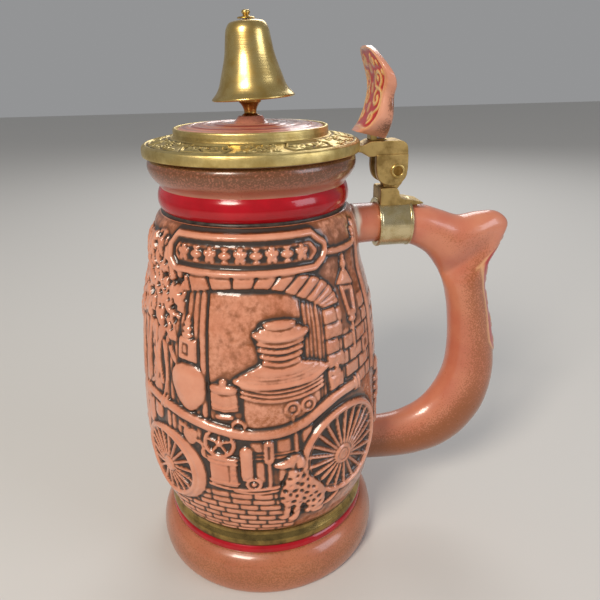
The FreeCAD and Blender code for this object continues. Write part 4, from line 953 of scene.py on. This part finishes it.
print("casting the lid")
lidDesign = {"columns": 1080, "sectors": 6, "slope": 12.4, "slopeRows": 44, "middleRadius": 36.5,
             "frameLow": 2.6, "frameHigh": 9.8, "relief": 0.75}
rimLine = smoothLine([(42.95, 184.05), (43.13, 184.6), (43.15, 186.2), (42.95, 187.5), (42.6, 187.95)], 3)
slopeLine = [(42.6 - 11.9 * t, 188.0 + 2.5 * t ** 1.05) for t in np.linspace(0.01, 1, lidDesign["slopeRows"])]
ringLine = np.vstack([
    rimLine, slopeLine,
    smoothLine([(30.64, 190.65), (30.55, 192.3), (30.5, 193.3), (30.2, 193.75), (29.6, 193.78), (29.32, 193.6)], 3),
    [(29.3, 189.05), (26.3, 189.0), (26.3, 187.45), (31.8, 186.0), (32.9, 184.02)],
])
ringX = np.arange(lidDesign["columns"]) / lidDesign["columns"] * fullTurn * lidDesign["middleRadius"]
slopeStart, slopeEnd = len(rimLine), len(rimLine) + lidDesign["slopeRows"]
slopeSheet = newSheet(ringX, np.linspace(0, lidDesign["slope"], lidDesign["slopeRows"]), 0.0)
sector = fullTurn * lidDesign["middleRadius"] / lidDesign["sectors"]
low, high = lidDesign["frameLow"], lidDesign["frameHigh"]
middleV = 0.5 * (low + high)
for k in range(lidDesign["sectors"]):
    slopeSheet["shift"] = (k + 0.5) * sector
    cartouche = [(-9.4, middleV), (-7.4, low), (7.4, low), (9.4, middleV), (7.4, high), (-7.4, high), (-9.4, middleV)]
    stroke(slopeSheet, cartouche, 0.42, 0.55, 0.15, 0.35)
    blob(slopeSheet, 0, middleV, 1.3, 1.5, 0.55, 0.2, 0, 0.3)
    for mirror in (-1, 1):
        for x, lead in ((2.9, -1.2), (6.0, 1.6)):
            drawScroll(slopeSheet, mirror * x, middleV, 1.75, lead, mirror, 0.36)
        stroke(slopeSheet, [(mirror * 0.8, middleV - 2.4), (mirror * 4.4, middleV - 0.4),
                            (mirror * 7.8, middleV + 1.6)], 0.34, 0.5, 0.15, 0.25, smooth=4)
        for x, lead in ((2.6, 0.4), (5.6, 3.0)):       # scroll field between two cartouches, half of it on each side
            for z in (low + 1.0, high - 1.0):
                drawScroll(slopeSheet, mirror * (0.5 * sector - x), z, 1.45, lead, mirror if z < middleV else -mirror,
                           0.34)
        for petal in range(3):
            turn = math.pi / 2 + petal * math.pi / 2 * mirror
            blob(slopeSheet, mirror * 0.5 * sector + 1.3 * math.cos(turn), middleV + 1.5 * math.sin(turn), 0.9, 0.9,
                 0.55, 0.2, 0, 0.25)
for edgeV in (0.9, 11.5):
    slopeSheet["height"] += 0.45 * np.exp(-((slopeSheet["z"][:, None] - edgeV) / 0.38) ** 2)
    slopeSheet["height"] -= 0.3 * np.exp(-((slopeSheet["z"][:,
            None] - edgeV - (0.8 if edgeV < 5 else -0.8)) / 0.3) ** 2)
slopeHeight = np.clip(blurred(slopeSheet["height"], 0.5, 0.6), -0.35, 0.55) * lidDesign["relief"]
ringPoints = turned(ringLine, lidDesign["columns"])
ringPoints[slopeStart:slopeEnd, :, 2] += slopeHeight
ringStainAndShade = np.zeros(ringPoints.shape[:2])
ringStainAndShade[slopeStart:slopeEnd] = np.clip((blurred(slopeHeight, 4, 5) - slopeHeight) * 2.6 + 0.16, 0, 1)
ringStainAndShade[:4] = 0.25                                  # painted shade along the underside of the rim and in the corner at the foot of the inner wall
ringStainAndShade[slopeEnd:slopeEnd + 3] = 0.35
lidRing = gridMesh("lid_ring_engraved", ringPoints, "loop", {"stain_and_shade": ringStainAndShade}, sharp=50)
place(lidRing, "lid", "ring_brass", "lid_ring", finishes=(engravedBrass,))

inlayDesign = {"columns": 160, "topRows": 74, "ridges": ((24.6, 0.38, 0.55), (18.6, 0.32, 0.5), (11.2, 0.3, 0.5)),
               "redRings": ((26.4, 0.55), (22.9, 0.5), (20.2, 0.35), (16.6, 0.5), (14.3, 0.5), (12.6, 0.35),
                            (8.9, 0.5)),
               "redShare": 0.85, "sprayShare": 0.35}


def inlayTop(r):                                      # a field stepped twice, with thrown ridges (radius, rise, width)
    top = 193.9 + 0.55 * softStep(23.6, 22.4, r) + 0.45 * softStep(14.9, 13.9, r)
    for radius, rise, width in inlayDesign["ridges"]:
        top += rise * math.exp(-((r - radius) / width) ** 2)
    return min(float(top), 195.5)


inlayProfile = np.vstack([
    smoothLine([(1.3, 190.25), (15, 190.25), (28.4, 190.25), (29.0, 190.8), (29.08, 192.0), (28.9, 192.9),
                (28.2, 193.6),
                (27.4, 193.85)], 4),
    [(r, inlayTop(r)) for r in np.linspace(27.2, 7.2, inlayDesign["topRows"])],
    smoothLine([(6.5, 195.4), (5.9, 195.9), (5.3, 196.7), (4.95, 197.3), (4.6, 197.55), (3, 197.6), (1.3, 197.6)], 4),
])
inlayR, inlayUp = (np.repeat(inlayProfile[:, k:k + 1], inlayDesign["columns"], 1) for k in (0, 1))
onTop = inlayUp > 193.4
redRing = sum(np.exp(-((inlayR - radius) / width) ** 2) for radius, width in inlayDesign["redRings"])
inlay = gridMesh("thrown_inlay", turned(inlayProfile, inlayDesign["columns"]), "loop",
                 {"red": np.clip(redRing, 0, 1) * onTop * inlayDesign["redShare"],
                  "spray": inlayDesign["sprayShare"] * onTop}, sharp=60)
place(inlay, "lid", "inlay_glaze", "lid_inlay", finishes=(inlayStoneware,))


print("spinning the bell")
bellDesign = {"columns": 160, "knobColumns": 48, "tilt": 3.2, "crownDrop": 3.5, "knobLift": 0.4}
bellProfile = np.vstack([
    smoothLine([(15.2, -27.55), (15.9, -27.6), (16.1, -27.0), (15.6, -26.4)], 3),
    smoothLine([(15.4, -26.2), (14.2, -24.9), (12.9, -22.6), (11.9, -19.6), (10.6, -15.6), (9.5, -11.6), (8.8, -7.4),
                (8.2, -3.6), (7.5, -1.9), (6.6, -0.8),
                (5.2, -0.3), (3.4, -0.05), (1.75, 0)], 5),
    [(1.72, -0.95)],
    smoothLine([(3.4, -1.0), (5.4, -1.1), (6.6, -1.8), (7.3, -3.4), (7.8, -7.4), (8.5, -11.8), (9.5, -16), (10.8, -20),
                (11.9, -23), (13.4, -25.6), (14.9, -27.2)], 4),
])
bell = gridMesh("spun_bell", turned(bellProfile, bellDesign["columns"]), "loop", sharp=60)
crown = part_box("bell_knob")[1].z - bellDesign["crownDrop"] * mm
tilt = Matrix.Rotation(math.radians(bellDesign["tilt"]), 4, (0, -1, 0))     # it hangs a little off upright
bell.data.transform(Matrix.Translation((0, 0, crown)) @ tilt)
place(bell, "bell", "polished_brass", "bell", finishes=(polishedBrass,))
knobBase = crown / mm + bellDesign["knobLift"]
knobLine = [(0.01, 1.0), (1.1, 1.0), (1.1, 0.02), (3.3, 0.02), (3.4, 0.25), (3.1, 0.55), (2.0, 0.72), (1.35, 0.9),
            (1.1, 1.15), (1.25, 1.5), (1.6, 1.9),
            (1.65, 2.3), (1.45, 2.75), (1.0, 3.0), (0.5, 3.08), (0.01, 3.1)]
knobRows = turned([(r, knobBase + z) for r, z in knobLine], bellDesign["knobColumns"])
knob = gridMesh("bell_top_knob", knobRows, "cap", sharp=50)
place(knob, "lid", "polished_brass", "bell_knob", finishes=(polishedBrass,))


print("pressing the thumb lift")
liftDesign = {"columns": 120, "steps": 12, "hollow": 1.3, "redSink": 0.55, "curlRise": 0.95, "rimRise": 0.3}
liftRuns = (                                          # front, back, half width
    ((41.3, 190.5), (54.2, 187.4), 6.0), ((43.3, 192.2), (54.9, 190.6), 9.2), ((46.2, 196.4), (55.2, 195.0), 12.6),
    ((47.8, 201.2), (55.2, 199.6), 13.0), ((48.6, 205.6), (55.2, 203.8), 12.6), ((48.6, 209.5), (55.6, 208.0), 14.4),
    ((47.9, 213.2), (54.2, 211.8), 15.0), ((46.4, 217.4), (51.6, 215.8), 12.6), ((44.9, 221.0), (49.2, 219.8), 7.6),
    ((44.9, 222.1), (47.6, 222.0), 3.4),
)
front = smoothLine([run[0] for run in liftRuns], liftDesign["steps"])
back = smoothLine([run[1] for run in liftRuns], liftDesign["steps"])
liftWide = smoothLine([(run[2], 0) for run in liftRuns], liftDesign["steps"])[:, 0]
around = np.arange(liftDesign["columns"]) * fullTurn / liftDesign["columns"]
# Squarer than an ellipse, so the faces stay flat: back to front, then side to side
depthShare = np.sign(np.cos(around)) * np.abs(np.cos(around)) ** 0.3
widthShare = np.sign(np.sin(around)) * np.abs(np.sin(around)) ** 0.62
middle, arm = 0.5 * (front + back), 0.5 * (back - front)
liftY = widthShare[None, :] * liftWide[:, None]
curve = liftDesign["hollow"] * (liftY / 16) ** 2      # the face is slightly hollow across
liftPoints = np.stack([middle[:, :1] + arm[:, :1] * depthShare, liftY, middle[:, 1:] + arm[:, 1:] * depthShare], -1)
liftTravel = np.concatenate([[0], np.cumsum(np.hypot(*np.diff(front, axis=0).T))])
alongLift = np.repeat(liftTravel[:, None], len(around), 1)
liftTop = liftTravel[-1]
isFront = np.repeat(softStep(-0.45, -0.75, depthShare)[None, :], len(liftTravel), 0)
lift = newSheet(np.arange(-18, 18.01, 0.25), np.arange(0, liftTop + 1, 0.25), 0.0)
liftEdge = list(zip(liftWide[::liftDesign["steps"]] - 1.5, liftTravel[::liftDesign["steps"]]))[1:-1]
liftRing = [(-1.2, 3.2), (1.2, 3.2)] + liftEdge + [(0.8, liftTop - 1.2)] + [(-w, s) for w, s in liftEdge[::-1]]
plate(lift, liftRing, 0.5, 0, 2, 0.0, smooth=3)
liftField = softStep(0.1, 0.4, lift["height"])
curls = newSheet(lift["x"], lift["z"], 0.0)
for mirror in (-1, 1):
    for x, z, bend, lead in ((5.2, 7.4, 2.6, -1.2), (6.6, 14.6, 3.3, 1.9), (7.6, 22.6, 3.3, -1.2),
                             (5.4, 28.6, 2.4, 1.9)):
        drawScroll(curls, mirror * x, z, bend, lead, mirror, 0.7)
    stroke(curls, [(mirror * 7.6, 9.4), (mirror * 10.4, 12), (mirror * 9.6, 17.6), (mirror * 4.2, 19.4),
                   (mirror * 4.6, 24.4)], 0.6, 0.6, 0.2, 0.0, smooth=5)
    for x, z in ((10.6, 16.2), (12, 24.6), (9, 28)):
        blob(curls, mirror * x, z, 0.8, 1.3, 0.6, 0.2, mirror * 30, 0.0)
for z in (11, 18.4, 26):
    blob(curls, 0, z, 1.0, 1.9, 0.6, 0.2, 0, 0.0)
borders = newSheet(lift["x"], lift["z"], 0.0)
stroke(borders, liftRing + liftRing[:1], 0.6, 0.6, 0.2, 0.0, smooth=3)
liftRed = readSheet(liftField, lift, liftY, alongLift) * isFront
liftCurl = readSheet(curls["height"], lift, liftY, alongLift) * isFront * liftRed
liftRim = readSheet(borders["height"], lift, liftY, alongLift) * isFront
inwards = arm / np.hypot(arm[:, :1], arm[:, 1:])
sink = (liftDesign["redSink"] * liftRed - liftDesign["curlRise"] * liftCurl - liftDesign["rimRise"] * liftRim
        + curve * (depthShare < 0))
liftPoints[:, :, 0] += inwards[:, :1] * sink
liftPoints[:, :, 2] += inwards[:, 1:] * sink * 0.4
# Painted shade: the creases on the back and sides of the lift are darkened with the brown spray tint
creaseShade = np.exp(-((alongLift - 14) / 5) ** 2) + np.exp(-((alongLift - 4) / 4) ** 2)
sidesOnly = 0.5 + 0.5 * softStep(0.4, 0.9, np.abs(widthShare))
liftCreaseShade = 0.8 * creaseShade * softStep(-0.6, 0.3, depthShare)[None, :] * sidesOnly[None, :]
thumb = gridMesh("thumb_lift_pressed", liftPoints, "cap", {
    "red": np.clip(liftRed * 1.2, 0, 1), "gold": np.clip(2.4 * liftCurl + 0.9 * liftRim, 0, 1),
    "spray": np.clip(liftCreaseShade, 0, 1)})
place(thumb, "lid", "thumb_glaze", "thumb_lift", finishes=(thumbStoneware,))


print("casting the hinge")
hingeDesign = {"pinX": 59.1, "pinZ": 174.5, "outerHalf": 6.0, "slotHalf": 2.8, "blockHalf": 5.4, "tongueHalf": 2.5,
               "edge": 0.45, "knuckleRadius": 5.5, "knuckleSides": 36, "strapZ": 152.0}


# Slabs cut to an outline seen from the side, each (outline, near y, far y), with rounded edges
def castPiece(name, slabs):
    verts, faces = [], []
    for outline, near, far in slabs:
        count, first = len(outline), len(verts)
        verts += [(x, y, z) for y in (near, far) for x, z in outline]
        faces.append([first + k for k in range(count)])
        faces.append([first + count + k for k in reversed(range(count))])
        for k in range(count):
            following = (k + 1) % count
            faces.append([first + following, first + k, first + count + k, first + count + following])
    piece = newPiece(name, verts, faces, 35)
    roundEdges(piece, hingeDesign["edge"], True)
    return piece


pinX, pinZ, outerHalf = hingeDesign["pinX"], hingeDesign["pinZ"], hingeDesign["outerHalf"]
cheek = smoothLine([(50.0, 175.6), (50.6, 172.4), (52.0, 170.2), (54.4, 168.9), (57.6, 168.5), (60.6, 169.4),
                    (62.8, 171.8),
                    (63.5, 175)], 5).tolist()
cheek += [(63.5, 181.2), (50.0, 181.2)]
blockTop = [(41.9, 182.5), (44.0, 182.2), (47.0, 180.4), (63.5, 180.4)]
blockTop += smoothLine([(63.5, 182.6), (63.2, 184.4), (62.3, 185.7), (60.9, 186.4), (59.4, 186.6)], 4).tolist()
blockTop += [(47.8, 186.6), (44.4, 185.1), (41.9, 185.0)]
shank = castPiece("lid_hinge_fork", [
    (cheek, -outerHalf, -hingeDesign["slotHalf"]), (cheek, hingeDesign["slotHalf"], outerHalf),
    (blockTop, -hingeDesign["blockHalf"], hingeDesign["blockHalf"])])
place(shank, "lid", "antique_brass", "lid_shank", finishes=(sandCastBrass,))
pinRing = turned(smoothLine([(1.95, 5.8), (1.95, 6.3), (2.15, 6.5), (2.6, 6.5), (2.85, 6.3), (2.9, 5.8)], 4), 48)
for side, sign in (("front", -1), ("rear", 1)):       # raised ring round each end of the pin
    ringPoints = np.stack([pinRing[:, :, 0] + pinX, sign * pinRing[:, :, 2], sign * pinRing[:, :, 1] + pinZ], -1)
    place(gridMesh("pin_ring_" + side, ringPoints, "loop"), "lid", "antique_brass", finishes=(polishedBrass,))
post = [(52.2, 159.5), (52.2, 167.0), (52.7, 167.5), (58.4, 167.5), (59.6, 167.0), (60.3, 165.8), (60.5, 164.2),
        (61.2, 163.2), (62.6, 162.6),
        (66.6, 161.9), (70.9, 160.9), (71.1, 160.3), (66.3, 159.8), (60, 159.3)]
sides, radius = hingeDesign["knuckleSides"], hingeDesign["knuckleRadius"]
eye = [(pinX + radius * math.cos(k * fullTurn / sides), pinZ + radius * math.sin(k * fullTurn / sides)) for k in range(sides)]
knuckle = [(54.5, 166.5), (60.5, 166.5), (62.2, 168.6)] + eye[32:] + eye[:19] + [(53.9, 170)]
tongueHalf = hingeDesign["tongueHalf"]
bracketPost = castPiece("hinge_post", [(post, -outerHalf, outerHalf), (knuckle, -tongueHalf, tongueHalf)])
place(bracketPost, "stein", "antique_brass", "hinge_bracket", finishes=(sandCastBrass,))
strapLine = smoothLine([(8.64, 51.6), (8.64, 58), (8.64, 65.9), (9.2, 66.0), (10.3, 66.0), (10.6, 65.7), (10.55, 65.0),
                        (10.3, 64.6), (10.25, 58.7),
                        (10.3, 53.0), (10.55, 52.6), (10.6, 51.9), (10.3, 51.5), (9.2, 51.5)], 4)
strapRows = turned(strapLine, 120)
strapPoints = np.stack([strapRows[:, :, 2], strapRows[:, :, 0], hingeDesign["strapZ"] - strapRows[:, :, 1]], -1)
place(gridMesh("arm_strap", strapPoints, "loop", sharp=60), "stein", "antique_brass", finishes=(strapBrass,))


# The CAD's own metal pieces, each (node, finish, edge radius in mm)
cadFinishes = (
    ("hinge_pin", postBrass, 0.25), ("thumb_stem", polishedBrass, 0.4),
    ("stud_washer", strapBrass, 0), ("stud_nut", postBrass, 0.2), ("bell_washer", strapBrass, 0),
    ("bell_post", postBrass, 0.2),
    ("bell_stud", plainSteel, 0), ("inlay_bedding", plaster, 0),
)
for name, finish, soften in cadFinishes:
    node = nodes[name]
    node.data.materials.clear()
    node.data.materials.append(finish)
    weld = node.modifiers.new("weld", "WELD")
    weld.merge_threshold = 0.00001
    if soften:
        roundEdges(node, soften, False)


print("setting the stage")
stageDesign = {"floor": "#D2D0CC", "floorSize": 6.0, "world": "#E9EAEC", "worldStrength": 0.36,
               "aimAt": (0.0, 0.0, 0.1)}
# matt paper: a soft shadow and no reflection
floorFinish, tree, shader = newFinish("pale_paper_sweep", Roughness=0.75)
shader.inputs["Base Color"].default_value = shade(stageDesign["floor"])
bpy.ops.mesh.primitive_plane_add(size=stageDesign["floorSize"])
floor = bpy.context.object
floor.name = "floor"
floor.data.materials.append(floorFinish)
world = bpy.data.worlds.new("studio")
world.use_nodes = True
world.node_tree.nodes["Background"].inputs["Color"].default_value = shade(stageDesign["world"])
world.node_tree.nodes["Background"].inputs["Strength"].default_value = stageDesign["worldStrength"]
bpy.context.scene.world = world
aimAt = Vector(stageDesign["aimAt"])
for name, spot, wide, power, tint in (
        ("key_softbox", (-0.55, -0.75, 0.85), 0.36, 10.5, "#FFF4E6"),
        ("fill_softbox", (0.85, -0.55, 0.45), 0.5, 3.0, "#EEF3FF"),
        ("back_softbox", (0.3, 0.9, 0.8), 0.6, 4.0, "#FFFFFF")):
    light = bpy.data.lights.new(name, "AREA")
    light.size = wide
    light.energy = power
    light.color = shade(tint)[:3]
    lamp = bpy.data.objects.new(name, light)
    lamp.location = spot
    lamp.rotation_euler = (aimAt - Vector(spot)).to_track_quat("-Z", "Y").to_euler()
    bpy.context.scene.collection.objects.link(lamp)
bpy.context.scene.view_settings.view_transform = "Standard"

cameraDesign = {"lens": 34.595, "sensor": 36.0, "spot": (-0.01504, -0.23759, 0.215), "turn": -8, "tilt": 67.95,
                "roll": -1.016}
camera = bpy.data.objects.new("camera", bpy.data.cameras.new("camera"))
camera.data.lens = cameraDesign["lens"]
camera.data.sensor_width = cameraDesign["sensor"]
camera.data.clip_start = 0.01
camera.matrix_world = Matrix.Translation(cameraDesign["spot"])
for key, axis in (("turn", "Z"), ("tilt", "X"), ("roll", "Z")):
    camera.matrix_world = camera.matrix_world @ Matrix.Rotation(math.radians(cameraDesign[key]), 4, axis)
bpy.context.scene.collection.objects.link(camera)
bpy.context.scene.camera = camera
